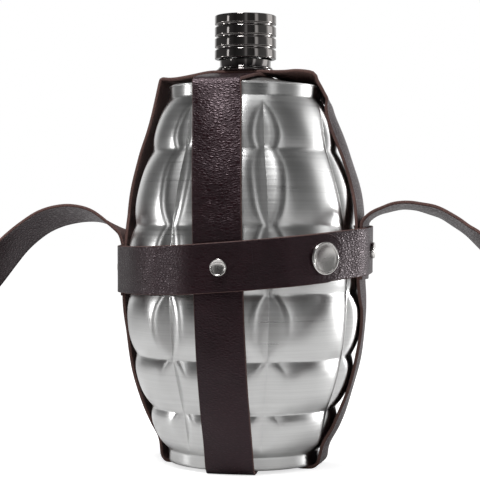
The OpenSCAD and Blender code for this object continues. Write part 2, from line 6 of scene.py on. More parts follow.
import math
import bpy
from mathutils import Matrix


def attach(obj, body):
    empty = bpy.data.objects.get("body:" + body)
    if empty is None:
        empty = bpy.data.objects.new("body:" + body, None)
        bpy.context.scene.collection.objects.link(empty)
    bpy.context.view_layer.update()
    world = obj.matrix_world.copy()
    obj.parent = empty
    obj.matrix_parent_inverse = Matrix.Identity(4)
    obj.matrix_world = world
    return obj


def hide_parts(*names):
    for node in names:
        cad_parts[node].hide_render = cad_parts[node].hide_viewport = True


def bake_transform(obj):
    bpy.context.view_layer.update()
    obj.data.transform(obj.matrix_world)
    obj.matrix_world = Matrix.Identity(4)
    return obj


bl_info = {
    "name": "Canteen in a Harness",
    "version": (1, 0, 0),
    "blender": (4, 5, 0),
    "location": "3D View > Sidebar > Canteen",
    "description": "Barrel, cap, straps, belt, snap and stage of a harnessed canteen",
    "category": "Add Mesh",
}

import bpy
import numpy as np
from mathutils import Matrix

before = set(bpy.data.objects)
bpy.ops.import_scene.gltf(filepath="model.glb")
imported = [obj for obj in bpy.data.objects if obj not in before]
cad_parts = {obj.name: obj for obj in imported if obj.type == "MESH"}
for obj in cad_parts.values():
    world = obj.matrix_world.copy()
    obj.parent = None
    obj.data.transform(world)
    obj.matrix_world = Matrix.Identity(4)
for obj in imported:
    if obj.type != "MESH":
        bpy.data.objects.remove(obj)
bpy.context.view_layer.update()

# Bottle, as in the part's source
BAND_R = 39.4
RIM_BAND_H = 5.8
BASE_BAND_H = 6.6
BELLY_R = 58.4
BARREL_R = 203.0
ROW_HEIGHTS = np.array([22.2, 27.2, 33.2, 34.1, 38.4, 27.0])
ROW_SWELLS = np.array([2.3, 3.2, 3.3, 3.3, 3.4, 2.6])
COLUMNS = 7
BOTTLE_TURN = -1.4
SHEET = 0.8
GROOVE_HALF_ANGLE = 65.0
GROOVE_EXTRA = 0.5
GROOVE_LIFT = 3.6
# How much deeper the upright grooves are round the topmost level groove, and how far above and below it
FLOOR_DIP = 1.1
FLOOR_DIP_REACH = 20.0
# Power of the curve across a cell, and height of the rounded floor of a level groove
CELL_POWER = 2.4
CREASE_LIFT = 0.22
SHOULDER_RISE = 5.4
SEAM_T = 1.0
SEAM_LIP = 0.4
# How far the barrel's sheet is tucked in behind its rim and foot, and by how much and over what height
# its foot turns in
TUCK = 4.0
FOOT_IN = 0.5
FOOT_IN_H = 0.8

# Neck and cap
NECK_R = 9.2
COLLAR_R = 13.4
COLLAR_H = 6.2
COLLAR_FOOT_R = 15.5
COLLAR_FOOT_T = 1.0
COLLAR_EDGE = 0.5
CAP_R = 16.15
CAP_H = 22.7
CAP_WALL = 1.2
CAP_TOP_T = 2.0
CAP_GAP = 0.35
RIB_COUNT = 4
RIB_GAP = 1.3
RIB_DEPTH = 1.0
RIB_EDGE = 0.5
RIB_ROOT = 0.15

# Leather; the crown is the share of its thickness that it loses towards the edges
LEATHER_T = 1.7
CROWN = 0.04
# Slow waves as [share of the height, turn per mm and start along, turn per mm and start across]
RIPPLES = ((1.0, 0.21, 0.7, 0.13, 0.4), (0.6, 0.083, 1.9, 0.21, -0.8))
RIPPLE_FADE = 30.0
STRAP_W = 25.0
RIM_GAP = 1.4
FOOT_GAP = 0.8
FOOT_GAP_LEFT = 0.2
FOOT_GAP_RIGHT = 0.3
STRAP_BOW = 0.21
FRONT_FOOT_BOW = 0.34
SHIFT_RIM = -5.5
SHIFT_BELT = 1.5
SHIFT_FOOT = 2.1
# The front strap slips this far to the left under the belt
SHIFT_SLIP = 1.4
REST_W = 6.5
TOP_BEND_R = 3.0
FOOT_BEND_R = 4.5
LEFT_BEND_R = 1.2
# Where the two halves of a strap's line meet under the base
STRAP_MEET = 2.8
# Steps along the lines of the crossing straps, and of belt and shoulder strap
STRAP_STEP = 1.5
BELT_STEP = 1.6
# Tilt of the loose leather over the right of the shoulder, its back edge down, in degrees, and its sag
RIGHT_TILT = 14.0
RIGHT_SAG = 2.7
# Where these two fade in, as [start, span]: by distance from the axis, and by height from the rim
LOOSE_OUT = (12.0, 14.0)
LOOSE_HIGH = (-10.0, 9.0)
# How far the side strap leans towards the back, away from the belt, in degrees round the axis
SIDE_BACK_TURN = 6.5
# Twist of the right strap above the belt, its front edge nearer to the bottle, in degrees
RIGHT_TWIST = 7.0
# Where lean, twist and bend fade in, as [start, span]: by distance from the belt's edge, by height over the
# floor and over the belt's middle, by height over the base and by depth under the rim
LEAN_FADE = (-2.0, 18.0)
FOOT_FADE = (4.0, 40.0)
TWIST_FADE = (18.0, 20.0)
BEND_FOOT = (2.0, 8.0)
BEND_RIM = (1.0, 8.0)
# Inner face of the side strap as it hangs, from the rim down, as [height, distance from the axis]:
# taut at the left, loose at the right. Its way over the shoulder is given as [distance, height over the
# top of the front strap's crossing]
LEFT_FACE = ((192, 45.0), (175, 50.5), (162, 54.9), (146, 59.1), (128, 61.5), (114, 61.9), (100, 62.3),
             (88, 62.9), (74, 62.6), (55, 59.8), (44, 57.5), (31, 53.0), (20, 47.8), (12, 43.6))
RIGHT_FACE = ((192, 42.2), (181, 45.9), (160, 53.7), (142, 58.8), (125, 61.2), (112, 61.7), (97, 61.9),
              (86, 62.1), (73, 61.9), (60, 60.2), (47, 57.4), (34, 53.6), (20, 48.4), (12, 44.2))
LEFT_TOP = ((15.5, 0.0), (26.0, -1.7), (34.0, -2.7), (38.5, -2.8))
LEFT_FOLD = (42.8, -2.4)
RIGHT_TOP = ((15.5, 0.0), (30.0, 0.0))
RIGHT_FOLD = (35.6, -0.6)

# Belt
BELT_W = 24.5
BELT_Z = 107.3
BELT_RISE_RIGHT = 5.0
BELT_RISE_BACK = 2.8
# The belt's bends are rounded over this many degrees to either side
BELT_BEND_TURN = 5.0
BELT_END_TURN = 26.0
FLAP_ROOT_TURN = 16.0
SNAP_TURN = 47.5
FLAP_TIP = 13.1
SNAP_R = 8.1
SNAP_H = 1.9
SNAP_ROOM = 2.7
RIVET_R = 4.2
RIVET_H = 1.6
BASE_RIVET_H = 1.0
RIVET_RIM = 0.3
SNAP_RIM = 0.6
PLATE_T = 0.3
FLAP_CLIMB_TURN = 17.0
CARRY_W = 25.0
CARRY_TAIL = 2.5
# The shoulder strap keeps the bottle's bend for a span at each end, and loses it over the next
CARRY_BENT = 25.0
CARRY_UNBEND = 20.0
LAY_GAP = 0.1
WELD_GAP = 0.05

# Levels and layers that follow from them
ROWS = len(ROW_HEIGHTS)
BASE_Z = LEATHER_T + WELD_GAP
ROW_Z = BASE_Z + BASE_BAND_H + np.concatenate([[0.0], np.cumsum(ROW_HEIGHTS)])
MID_Z = (ROW_Z[0] + ROW_Z[-1]) / 2
RIM_Z = ROW_Z[-1] + RIM_BAND_H
SEAT_Z = RIM_Z + SHOULDER_RISE
EDGE_R = BELLY_R - BARREL_R + np.sqrt(BARREL_R**2 - (ROW_Z - MID_Z) ** 2)
EDGE_R[0] = EDGE_R[-1] = BAND_R
ROW_CHORD = np.hypot(np.diff(EDGE_R), ROW_HEIGHTS)
ROW_ROUND = (ROW_CHORD**2 / 4 + ROW_SWELLS**2) / (2 * ROW_SWELLS)
SWELL_R = float(np.max((EDGE_R[1:] + EDGE_R[:-1]) / 2 + ROW_ROUND
                       - ROW_HEIGHTS / ROW_CHORD * (ROW_ROUND - ROW_SWELLS)))
FACE_R = SWELL_R + PLATE_T + 6 * LAY_GAP
STRAP_OUT_R = FACE_R + LEATHER_T
FRONT_BELT_R = STRAP_OUT_R + LAY_GAP
SIDE_BELT_R = STRAP_OUT_R + LEATHER_T + 2 * LAY_GAP
# The barrel as it is seen: its lower rows are fuller than the solid's even curve
SEEN_EDGE_R = EDGE_R + np.array([0.0, 1.5, 2.0, 0.6, 0.0, 0.0, 0.0])
SEEN_SWELLS = ROW_SWELLS + np.array([1.3, 0.6, 0.6, 0.0, 0.0, 0.0])
BARE_BELT_R = SWELL_R + PLATE_T + RIVET_R**2 / (2 * SWELL_R) + 3 * LAY_GAP
FRONT_TOP_Z = SEAT_Z + LAY_GAP + LEATHER_T / 2
SIDE_TOP_Z = FRONT_TOP_Z + LEATHER_T + LAY_GAP
COLLAR_Z = SIDE_TOP_Z + LEATHER_T / 2 + WELD_GAP
CAP_Z = COLLAR_Z + COLLAR_H + CAP_GAP
FRONT_CROSS_Z = BASE_RIVET_H + 3 * LAY_GAP + LEATHER_T / 2
SIDE_CROSS_Z = FRONT_CROSS_Z + LEATHER_T + LAY_GAP
CLOSE_FOLD_Z = RIM_Z + SEAM_T + 2 * LAY_GAP + LEATHER_T / 2
FLAP_IN_R = BARE_BELT_R + LEATHER_T + SNAP_ROOM
TIP_TURN = SNAP_TURN + math.degrees(FLAP_TIP / FLAP_IN_R)

# Route of the shoulder strap between its two ends, left to right, as [x, y, z, lift of its front edge in
# degrees]. On the floor its right half mirrors its left
CARRY_LEFT = [
    (-65.9, 0, 118.8, 4), (-70, -0.5, 122.7, 8), (-75, -0.5, 126.2, 11), (-81, -1, 129.2, 14),
    (-88, -2, 130.7, 18), (-95, -3, 130.7, 21), (-102.5, -4.5, 129.2, 22),
    (-109.5, -6.5, 126.2, 23), (-115.5, -9, 121.7, 25), (-120.5, -12, 116.7, 29),
    (-125, -16, 110.7, 36), (-129, -21, 104.2, 44), (-134, -28, 95.7, 52), (-139, -37, 85.7, 59),
    (-144, -48, 74.7, 65), (-148.5, -61, 62.2, 71), (-152.5, -76, 49.6, 77), (-155, -93, 36.9, 83),
    (-156, -111, 26.2, 88),
]
CARRY_FLOOR = np.array([
    (-155, -130, 18.1, 90), (-151, -149, 14, 90), (-143, -168, 12.7, 90), (-130, -187, 12.7, 90),
    (-112, -204, 12.7, 90), (-88, -218, 12.7, 90), (-60, -227, 12.7, 90), (-30, -232, 12.7, 90),
])
CARRY_RIGHT = [
    (157, -111, 26.7, 87), (156.5, -93, 38.4, 80), (154.5, -76, 52.7, 72), (151, -61, 66.7, 63),
    (147, -48, 79.7, 54), (142, -37, 91.7, 45), (137, -28, 101.7, 36), (131, -21, 109.7, 28),
    (125.5, -16, 115.7, 22), (120, -12, 120.2, 17), (114.5, -9, 124.7, 15), (109, -7, 128.2, 14),
    (102.5, -5.5, 131.7, 12), (95.5, -4, 133.7, 10), (88.5, -3, 135.2, 8), (81.5, -2, 135.2, 6),
    (75.5, -1, 133.7, 4), (70.6, -0.5, 131.7, 3), (66.8, 0, 129.2, 1), (64.6, 0, 126.7, 0),
]
CARRY_ROUTE = np.vstack([CARRY_LEFT, CARRY_FLOOR, [(0, -234, 12.7, 90)], CARRY_FLOOR[::-1] * (-1, 1, 1, 1),
                         CARRY_RIGHT])

UP = np.array((0.0, 0.0, 1.0))
WHITE = (1.0, 1.0, 1.0, 1.0)

# What the polished faces see around them, as [bearing from the lens in degrees, brightness]
STUDIO = ((-152, 0.9), (-136, 0.14), (-60, 0.09), (-40, 0.04), (-31, 0.05), (-16, 0.06), (-5, 0.1),
          (0, 0.36), (4, 0.36), (8, 0.08), (34, 0.06), (37, 1.0), (44, 1.0), (50, 0.16), (82, 0.2),
          (89, 0.8), (118, 0.8), (128, 0.5), (146, 0.9))
# From full at the first height of a direction, they dim to a share at the second
CEILING_LOW, CEILING_HIGH, CEILING_SHARE = 0.3, 0.65, 0.35
# Light of the room on dull faces, and the floor's own glow to the lens
ROOM_LIGHT = 0.5
FLOOR_GLOW = 0.7
# The floor's end in front, so that upright leather mirrors a dark room, and its reach elsewhere, in metres
FLOOR_FRONT = 0.42
FLOOR_REACH = 6.0
# Softboxes as [name, bearing from the lens and height in degrees, distance, width and length in
# metres, watts]
SOFTBOXES = (
    ("softbox_right", 104.0, 8.0, 0.9, 0.42, 1.0, 1.3),
    ("softbox_edge", 106.0, 3.0, 0.9, 0.16, 0.14, 2.8),
    ("softbox_left", -68.0, 6.0, 0.9, 0.12, 0.4, 0.34),
    ("softbox_far_left", -96.0, 3.0, 0.9, 0.12, 0.1, 1.0),
    ("softbox_front", -30.0, 66.0, 0.8, 0.18, 0.18, 5.4),
    ("softbox_top", 10.0, 84.0, 1.1, 0.7, 0.7, 2.0),
)
LAMP_AIM_Z = 0.11
# The lens as solved from the photograph: its width and the focal length in pixels, the roll in degrees, and
# how far the line of sight points to the left of the axis and below the level, in pixels
PHOTO_PX = 480.0
FOCAL_PX = 1512.0
VIEW_ROLL = 0.24
VIEW_LEFT_PX = 4.75
VIEW_DOWN_PX = 18.7
SENSOR_MM = 36.0

# The range of a colour
COLOUR = {"subtype": "COLOR", "min": 0.0, "max": 1.0}


class CanteenSizes(bpy.types.PropertyGroup):
    """Sizes of the finish that a user may change."""

    groove_soft: bpy.props.FloatProperty(
        name="Groove softness", description="Height over which a groove's border is rounded",
        default=0.0017, min=0.0002, max=0.003, unit="LENGTH")
    crease_soft: bpy.props.FloatProperty(
        name="Crease width", description="Width of the rounded floor of the level grooves",
        default=0.0016, min=0.0005, max=0.004, unit="LENGTH")
    leather_edge: bpy.props.FloatProperty(
        name="Leather edge", description="Radius of the leather's rounded edges",
        default=0.0005, min=0.0002, max=0.0008, unit="LENGTH")
    leather_wave: bpy.props.FloatProperty(
        name="Leather wave", description="Height of the slow waves in the leather",
        default=0.0002, min=0.0, max=0.0006, unit="LENGTH")
    grain_height: bpy.props.FloatProperty(
        name="Grain height", description="Height of the leather's pebbled grain",
        default=0.0001, min=0.0, max=0.001, unit="LENGTH")
    view_turn: bpy.props.FloatProperty(
        name="View turn", description="Turn of the camera round the bottle from the front",
        default=math.radians(12.5), subtype="ANGLE")
    view_distance: bpy.props.FloatProperty(
        name="View distance", description="Distance of the camera from the bottle's axis",
        default=0.795, unit="LENGTH")
    view_height: bpy.props.FloatProperty(
        name="View height", description="Height of the camera over the floor",
        default=0.127, unit="LENGTH")


class CanteenColours(bpy.types.PropertyGroup):
    """Colours of the finishes, linear."""

    steel: bpy.props.FloatVectorProperty(
        name="Steel", description="Brushed stainless steel of the bottle",
        default=(0.62, 0.62, 0.615), **COLOUR)
    gunmetal: bpy.props.FloatVectorProperty(
        name="Black chrome", description="Polished dark plate of the cap and collar",
        default=(0.23, 0.216, 0.209), **COLOUR)
    nickel: bpy.props.FloatVectorProperty(
        name="Nickel", description="Bright plate of the snap and rivets",
        default=(0.72, 0.70, 0.68), **COLOUR)
    hide: bpy.props.FloatVectorProperty(
        name="Grain side", description="Dyed outer side of the leather",
        default=(0.0088, 0.0014, 0.0026), **COLOUR)
    flesh: bpy.props.FloatVectorProperty(
        name="Flesh side", description="Undyed inner side and cut edges of the leather",
        default=(0.065, 0.036, 0.03), **COLOUR)
    floor: bpy.props.FloatVectorProperty(
        name="Floor", description="Pale floor and backdrop",
        default=(0.72, 0.72, 0.72), **COLOUR)


# Mesh building

def grid_faces(rows, cols, wrap_rows=False, wrap_cols=False):
    """Quads of a grid of points: each cell joins its own corner to the next along the columns and rows."""
    i = np.arange(rows if wrap_rows else rows - 1)[:, None]
    j = np.arange(cols if wrap_cols else cols - 1)[None, :]
    i, j = np.broadcast_arrays(i, j)
    i1, j1 = (i + 1) % rows, (j + 1) % cols
    return np.stack([i * cols + j, i * cols + j1, i1 * cols + j1, i1 * cols + j], -1).reshape(-1, 4)


def add_object(name, data):
    """A new object in the scene."""
    made = bpy.data.objects.new(name, data)
    bpy.context.scene.collection.objects.link(made)
    return made


def mesh_piece(name, points, faces, body, finish, node, side=None, sharp=40.0):
    """Puts points in millimetres and blocks of outward faces into a mesh at the origin, with a finish.

    The piece rides on a body, unless that is None, and replaces a node. Side is a leather's side mark."""
    mesh = bpy.data.meshes.new(name)
    mesh.vertices.add(len(points))
    mesh.vertices.foreach_set("co", (points / 1000.0).astype(np.float32).ravel())
    loops = np.concatenate([block.ravel() for block in faces])
    sizes = np.concatenate([np.full(len(block), block.shape[1]) for block in faces])
    mesh.loops.add(len(loops))
    mesh.loops.foreach_set("vertex_index", loops.astype(np.int32))
    mesh.polygons.add(len(sizes))
    mesh.polygons.foreach_set("loop_start", (np.cumsum(sizes) - sizes).astype(np.int32))
    mesh.update(calc_edges=True)
    mesh.validate()
    mesh.polygons.foreach_set("use_smooth", np.ones(len(mesh.polygons), bool))
    mesh.set_sharp_from_angle(angle=math.radians(sharp))
    if side is not None:
        mesh.attributes.new("side", "FLOAT", "POINT").data.foreach_set("value", side.astype(np.float32))
    piece = add_object(name, mesh)
    mesh.materials.append(finish_named(finish))
    if body:
        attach(piece, body)
    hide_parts(node)
    return piece


def lathe(profile, segments=128, ring=False):
    """A profile of [radius, height] turned round the axis, with a single point where it meets the axis."""
    profile = np.asarray(profile, float)
    turn = np.arange(segments) * 2 * np.pi / segments
    on_axis = profile[:, 0] < 1e-9
    body = profile[~on_axis]
    points = np.stack([body[:, :1] * np.cos(turn), body[:, :1] * np.sin(turn),
                       np.repeat(body[:, 1:], segments, 1)], -1).reshape(-1, 3)
    faces = [grid_faces(len(body), segments, wrap_rows=ring, wrap_cols=True)]
    this = np.arange(segments)
    following = (this + 1) % segments
    for end, row, fan in ((0, 0, (following, this)), (-1, (len(body) - 1) * segments, (this, following))):
        if on_axis[end]:
            pole = np.full(segments, len(points))
            points = np.vstack([points, [[0.0, 0.0, profile[end, 1]]]])
            faces.append(np.stack([pole, row + fan[0], row + fan[1]], -1))
    return points, faces


def turned_out(points, turn, height, side=0.0):
    """Points whose +Z looks outwards from the bottle's axis at a turn from the front, at a height."""
    a = math.radians(turn)
    out, across = np.array([math.sin(a), -math.cos(a), 0.0]), np.array([math.cos(a), math.sin(a), 0.0])
    return (points[:, :1] + side) * across + points[:, 1:2] * UP + points[:, 2:3] * out + UP * height


def arc(centre, radius, start, end, steps):
    """Points of a circle's arc in the profile plane, by angle in degrees."""
    a = np.radians(np.linspace(start, end, steps))
    return np.stack([centre[0] + radius * np.cos(a), centre[1] + radius * np.sin(a)], -1)


def summed(steps):
    """Sums of steps from 0 on."""
    return np.concatenate([[0.0], np.cumsum(steps)])


def step_lengths(path):
    """Lengths of the steps along a path."""
    return np.linalg.norm(np.diff(path[:, :3], axis=0), axis=1)


def smooth_path(p, step):
    """A path through points on centripetal cubic pieces, resampled at about equal steps."""
    knots = summed(np.sqrt(step_lengths(p)))
    slope = np.gradient(p, knots, axis=0)
    h = np.diff(knots)
    t = np.linspace(0.0, 1.0, 12, endpoint=False)[:, None, None]
    a, b = p[:-1], p[1:]
    ma, mb = slope[:-1] * h[:, None], slope[1:] * h[:, None]
    fine = ((2 * t**3 - 3 * t**2 + 1) * a + (t**3 - 2 * t**2 + t) * ma
            + (-2 * t**3 + 3 * t**2) * b + (t**3 - t**2) * mb)
    fine = np.vstack([fine.transpose(1, 0, 2).reshape(-1, p.shape[1]), p[-1:]])
    along = summed(step_lengths(fine))
    want = np.linspace(0.0, along[-1], max(2, int(round(along[-1] / step)) + 1))
    return np.stack([np.interp(want, along, fine[:, k]) for k in range(p.shape[1])], -1)


def unit(v):
    """A vector of length 1."""
    return v / np.linalg.norm(v)


def ease(x):
    """Smooth step from 0 to 1."""
    c = np.clip(x, 0.0, 1.0)
    return c * c * (3 - 2 * c)


def rise(x, start, span):
    """Smooth step from 0 at a start to 1 a span later."""
    return ease((x - start) / span)


def leather_profile(edge):
    """Profile of a strap, all the way round, as [share of the half width, added width, height, side]."""
    across = np.linspace(-1.0, 1.0, 15)
    half = LEATHER_T / 2
    crown = half * (1.0 - CROWN * across**2)
    top = np.stack([across, 0 * across, crown, 0 * across + 1], -1)
    bend = np.radians(np.linspace(80, -80, 7))
    round_right = np.stack([
        np.ones(7), edge * np.cos(bend), (half - edge) * np.sign(np.sin(bend)) * np.abs(np.sin(bend)) ** 0.5
        + edge * np.sin(bend), np.linspace(0.4, -0.4, 7)], -1)
    bottom = np.stack([across[::-1], 0 * across, -crown[::-1], 0 * across - 1], -1)
    return np.vstack([top, round_right, bottom, round_right[::-1] * (-1, -1, 1, 1)])


def strap_piece(name, node, body, path, across, half_w, edge=1.0, wave=1.0, closed=False, flip=False,
                hug=0.0):
    """A leather strap: its rounded profile carried along a path, square to it and to the across direction.

    Edge and wave are shares of the leather's own. The waves are added to both faces, so that light breaks on
    them. Hug is the bend across the strap, as one over its radius: the edges drop by hug times half the
    square of their distance from the middle. The side mark is 1 on the grain side, -1 on the flesh side and
    about 0 on the edges, and flip turns it over."""
    sizes = bpy.context.scene.canteen_sizes
    edge, wave = sizes.leather_edge * 1000.0 * edge, sizes.leather_wave * 1000.0 * wave
    n = len(path)
    way = np.roll(path, -1, 0) - np.roll(path, 1, 0) if closed else np.gradient(path, axis=0)
    way /= np.linalg.norm(way, axis=1)[:, None]
    across = across - (across * way).sum(1)[:, None] * way
    across /= np.linalg.norm(across, axis=1)[:, None]
    out = np.cross(way, across)
    share, added, level, side = leather_profile(edge).T
    wide = share * (np.broadcast_to(half_w, (n,))[:, None] - edge) + added
    along = summed(step_lengths(path))
    ripple = wave * sum(size * np.sin(along * k + start)[:, None] * np.cos(wide * kw + start_w)
                        for size, k, start, kw, start_w in RIPPLES)
    if closed:
        ripple *= ease(np.minimum(along, along[-1] - along) / RIPPLE_FADE)[:, None]
    high = level + ripple - np.broadcast_to(hug, (n,))[:, None] * wide**2 / 2
    points = path[:, None] + wide[..., None] * across[:, None] + high[..., None] * out[:, None]
    m = len(side)
    faces = [grid_faces(n, m, wrap_rows=closed, wrap_cols=True)[:, ::-1]]
    if not closed:
        ring = np.arange(m)[None]
        faces += [ring, ring[:, ::-1] + (n - 1) * m]
    return mesh_piece(name, points.reshape(-1, 3), faces, body, "harness_leather", node,
                      np.tile(-side if flip else side, n))


# Materials

def wire(tree, node, inputs):
    """Sets a node's inputs to values, or links them from sockets."""
    for key, value in inputs.items():
        if isinstance(value, bpy.types.NodeSocket):
            tree.links.new(value, node.inputs[key])
        else:
            node.inputs[key].default_value = value


def new_node(tree, kind, inputs=None, **settings):
    """A node with its settings and its inputs."""
    made = tree.nodes.new(kind)
    for key, value in settings.items():
        setattr(made, key, value)
    wire(tree, made, inputs or {})
    return made


def math_node(tree, operation, a, b=0.0, clamp=False):
    """Result of a calculation with two numbers."""
    return new_node(tree, "ShaderNodeMath", {0: a, 1: b}, operation=operation, use_clamp=clamp).outputs[0]


def vector_node(tree, operation, a, b):
    """Result of a calculation with two vectors: a number for a dot product, otherwise a vector."""
    made = new_node(tree, "ShaderNodeVectorMath", {0: a, 1: b}, operation=operation)
    return made.outputs["Value" if operation == "DOT_PRODUCT" else "Vector"]


def ramp(tree, value, low, high, start=0.0, end=1.0):
    """Value mapped from start..end to low..high, clamped."""
    return new_node(tree, "ShaderNodeMapRange", {0: value, 1: start, 2: end, 3: low, 4: high}).outputs[0]


def noise(tree, where, scale, detail, rough=0.5):
    """Outputs of cloudy noise at a place."""
    return new_node(tree, "ShaderNodeTexNoise", {
        "Vector": where, "Scale": scale, "Detail": detail, "Roughness": rough}).outputs


def mix_colour(tree, share, a, b):
    """Colour that goes from one to the other by a share."""
    return new_node(tree, "ShaderNodeMix", {0: share, 6: a, 7: b}, data_type="RGBA").outputs[2]


def mix_number(tree, share, a, b):
    """Number that goes from one to the other by a share."""
    return new_node(tree, "ShaderNodeMix", {0: share, 2: a, 3: b}, data_type="FLOAT").outputs[0]


def bump(tree, height, distance, strength=1.0):
    """Normal of a surface that is raised by a height times a distance."""
    return new_node(tree, "ShaderNodeBump", {
        "Height": height, "Distance": distance, "Strength": strength}).outputs[0]


def shaded(colour, share=1.0):
    """A colour times a share, opaque."""
    return tuple(c * share for c in colour) + (1.0,)


def effect_group(name, inputs, outputs):
    """An empty node group with a vector and numbers as inputs, and with numbers as outputs."""
    tree = bpy.data.node_groups.new(name, "ShaderNodeTree")
    tree.interface.new_socket("Vector", in_out="INPUT", socket_type="NodeSocketVector")
    for label, value in inputs.items():
        tree.interface.new_socket(label, in_out="INPUT", socket_type="NodeSocketFloat").default_value = value
    for label in outputs:
        tree.interface.new_socket(label, in_out="OUTPUT", socket_type="NodeSocketFloat")
    return tree, tree.nodes.new("NodeGroupInput").outputs, tree.nodes.new("NodeGroupOutput")


def grain_group():
    """Pebbled leather grain: warped cells whose borders are creases, with finer pores and slow patches.

    Puts out the height, the creases as a mask and the slow patches as a mask."""
    tree, given, out = effect_group("Leather grain", {"Pebble size": 900.0}, ("Height", "Crease", "Patch"))
    where = given["Vector"]
    warp = vector_node(tree, "MULTIPLY", noise(tree, where, 260.0, 2.0)["Color"], (0.0016, 0.0016, 0.0016))
    place = vector_node(tree, "ADD", where, warp)
    flat = new_node(tree, "ShaderNodeMapping", {"Vector": place, "Scale": (1.0, 1.0, 2.1)}).outputs[0]
    cells = new_node(tree, "ShaderNodeTexVoronoi", {
        "Vector": flat, "Scale": given["Pebble size"], "Randomness": 1.0}, feature="DISTANCE_TO_EDGE")
    ridge = math_node(tree, "MULTIPLY", cells.outputs["Distance"], 3.0, clamp=True)
    pores = math_node(tree, "MULTIPLY", noise(tree, place, 2600.0, 2.0)[0], 0.25)
    wire(tree, out, {"Height": math_node(tree, "ADD", ridge, pores),
                     "Crease": math_node(tree, "SUBTRACT", 1.0, ridge, clamp=True),
                     "Patch": noise(tree, where, 45.0, 3.0)[0]})
    return tree


def brush_group():
    """Fine lines round the axis: noise stretched along the turn and packed along the height, with smudges."""
    tree, given, out = effect_group("Brushed lines", {"Line scale": 1.0}, ("Lines", "Smudge"))
    where = given["Vector"]
    packed = new_node(tree, "ShaderNodeMapping", {"Vector": where, "Scale": (12.0, 12.0, 1100.0)}).outputs[0]
    wire(tree, out, {"Lines": noise(tree, packed, given["Line scale"], 3.0, 0.65)[0],
                     "Smudge": noise(tree, where, 30.0, 4.0)[0]})
    return tree


def start_material(name):
    """A material with one shader: returns it with its tree, the shader and the place on the object."""
    material = bpy.data.materials.new(name)
    material.use_nodes = True
    tree = material.node_tree
    tree.nodes.clear()
    shader = tree.nodes.new("ShaderNodeBsdfPrincipled")
    new_node(tree, "ShaderNodeOutputMaterial", {"Surface": shader.outputs[0]})
    return material, tree, shader, tree.nodes.new("ShaderNodeTexCoord").outputs["Object"]


def metal(name, colour, brush, line_scale, rough, line_height, line_shade, across=0.0):
    """A plated or brushed metal: brushed lines in roughness, shade and a shallow bump.

    Across is how much more its reflections blur across the lines than along them."""
    material, tree, shader, where = start_material(name)
    group = new_node(tree, "ShaderNodeGroup", node_tree=brush)
    wire(tree, group, {"Vector": where, "Line scale": line_scale})
    lines, smudge = group.outputs["Lines"], group.outputs["Smudge"]
    shade = ramp(tree, lines, 1.0 - line_shade, 1.0 + line_shade)
    mixed = math_node(tree, "ADD", math_node(tree, "MULTIPLY", lines, 0.6),
                      math_node(tree, "MULTIPLY", smudge, 0.4))
    wire(tree, shader, {
        "Metallic": 1.0, "Anisotropic": across, "Anisotropic Rotation": 0.25,
        "Base Color": vector_node(tree, "MULTIPLY", tuple(colour), shade),
        "Roughness": ramp(tree, mixed, rough * 0.7, rough * 1.3),
        "Normal": bump(tree, lines, line_height),
        "Tangent": vector_node(tree, "CROSS_PRODUCT", tuple(UP), where)})
    return material


def leather(name, colours, grain, height, pebble):
    """Dyed grain side with painted shade in the creases of its grain, brown flesh side and cut edges, told
    apart by the strap's side mark.
    """
    material, tree, shader, where = start_material(name)
    group = new_node(tree, "ShaderNodeGroup", node_tree=grain)
    wire(tree, group, {"Vector": where, "Pebble size": pebble})
    crease, patch = group.outputs["Crease"], group.outputs["Patch"]
    side = new_node(tree, "ShaderNodeAttribute", attribute_name="side").outputs["Fac"]
    on_grain = ramp(tree, side, 0.0, 1.0, 0.1, 0.6)
    on_edge = ramp(tree, math_node(tree, "ABSOLUTE", side), 0.0, 1.0, 0.6, 0.3)
    # Painted shade: the grain side's colour darkens towards the creases of its grain
    hide_painted_shade_in_creases = mix_colour(tree, math_node(tree, "MULTIPLY", crease, 0.7), shaded(colours.hide),
                     shaded(colours.hide, 0.25))
    rubbed = mix_colour(tree, ramp(tree, patch, -0.6, 0.9), hide_painted_shade_in_creases, shaded(colours.hide, 1.8))
    fuzz = noise(tree, where, 1500.0, 4.0)[0]
    suede = mix_colour(tree, fuzz, shaded(colours.flesh, 0.35), shaded(colours.flesh, 1.7))
    cut = vector_node(tree, "MULTIPLY", suede, ramp(tree, on_edge, 1.0, 1.3))
    shine = math_node(tree, "ADD", ramp(tree, patch, 0.25, 0.33), math_node(tree, "MULTIPLY", crease, 0.2))
    level = mix_number(tree, on_grain, fuzz, group.outputs["Height"])
    wire(tree, shader, {
        "Base Color": mix_colour(tree, on_grain, cut, rubbed),
        "Roughness": mix_number(tree, on_grain, 0.9, shine),
        "Normal": bump(tree, level, height),
        "Specular IOR Level": 0.44, "Specular Tint": (1.0, 0.78, 0.86, 1.0)})
    return material


def moulded(name, colour, rough):
    """Moulded plastic or rubber: fine speckle in shade, roughness and bump."""
    material, tree, shader, where = start_material(name)
    speck = noise(tree, where, 1800.0, 3.0)[0]
    wire(tree, shader, {
        "Base Color": vector_node(tree, "MULTIPLY", colour, ramp(tree, speck, 0.85, 1.15)),
        "Roughness": ramp(tree, speck, rough - 0.1, rough + 0.1),
        "Normal": bump(tree, speck, 0.00005, 0.5)})
    return material


def dress(node_names, material):
    """Gives CAD nodes a finish in place of their plain one."""
    for name in node_names:
        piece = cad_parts[name]
        piece.data.materials.clear()
        piece.data.materials.append(material)


def finish_named(name):
    """A finish that has been made."""
    made = bpy.data.materials.get(name)
    if made is None:
        raise RuntimeError("the finishes are made first: " + name)
    return made


# Shapes of this canteen

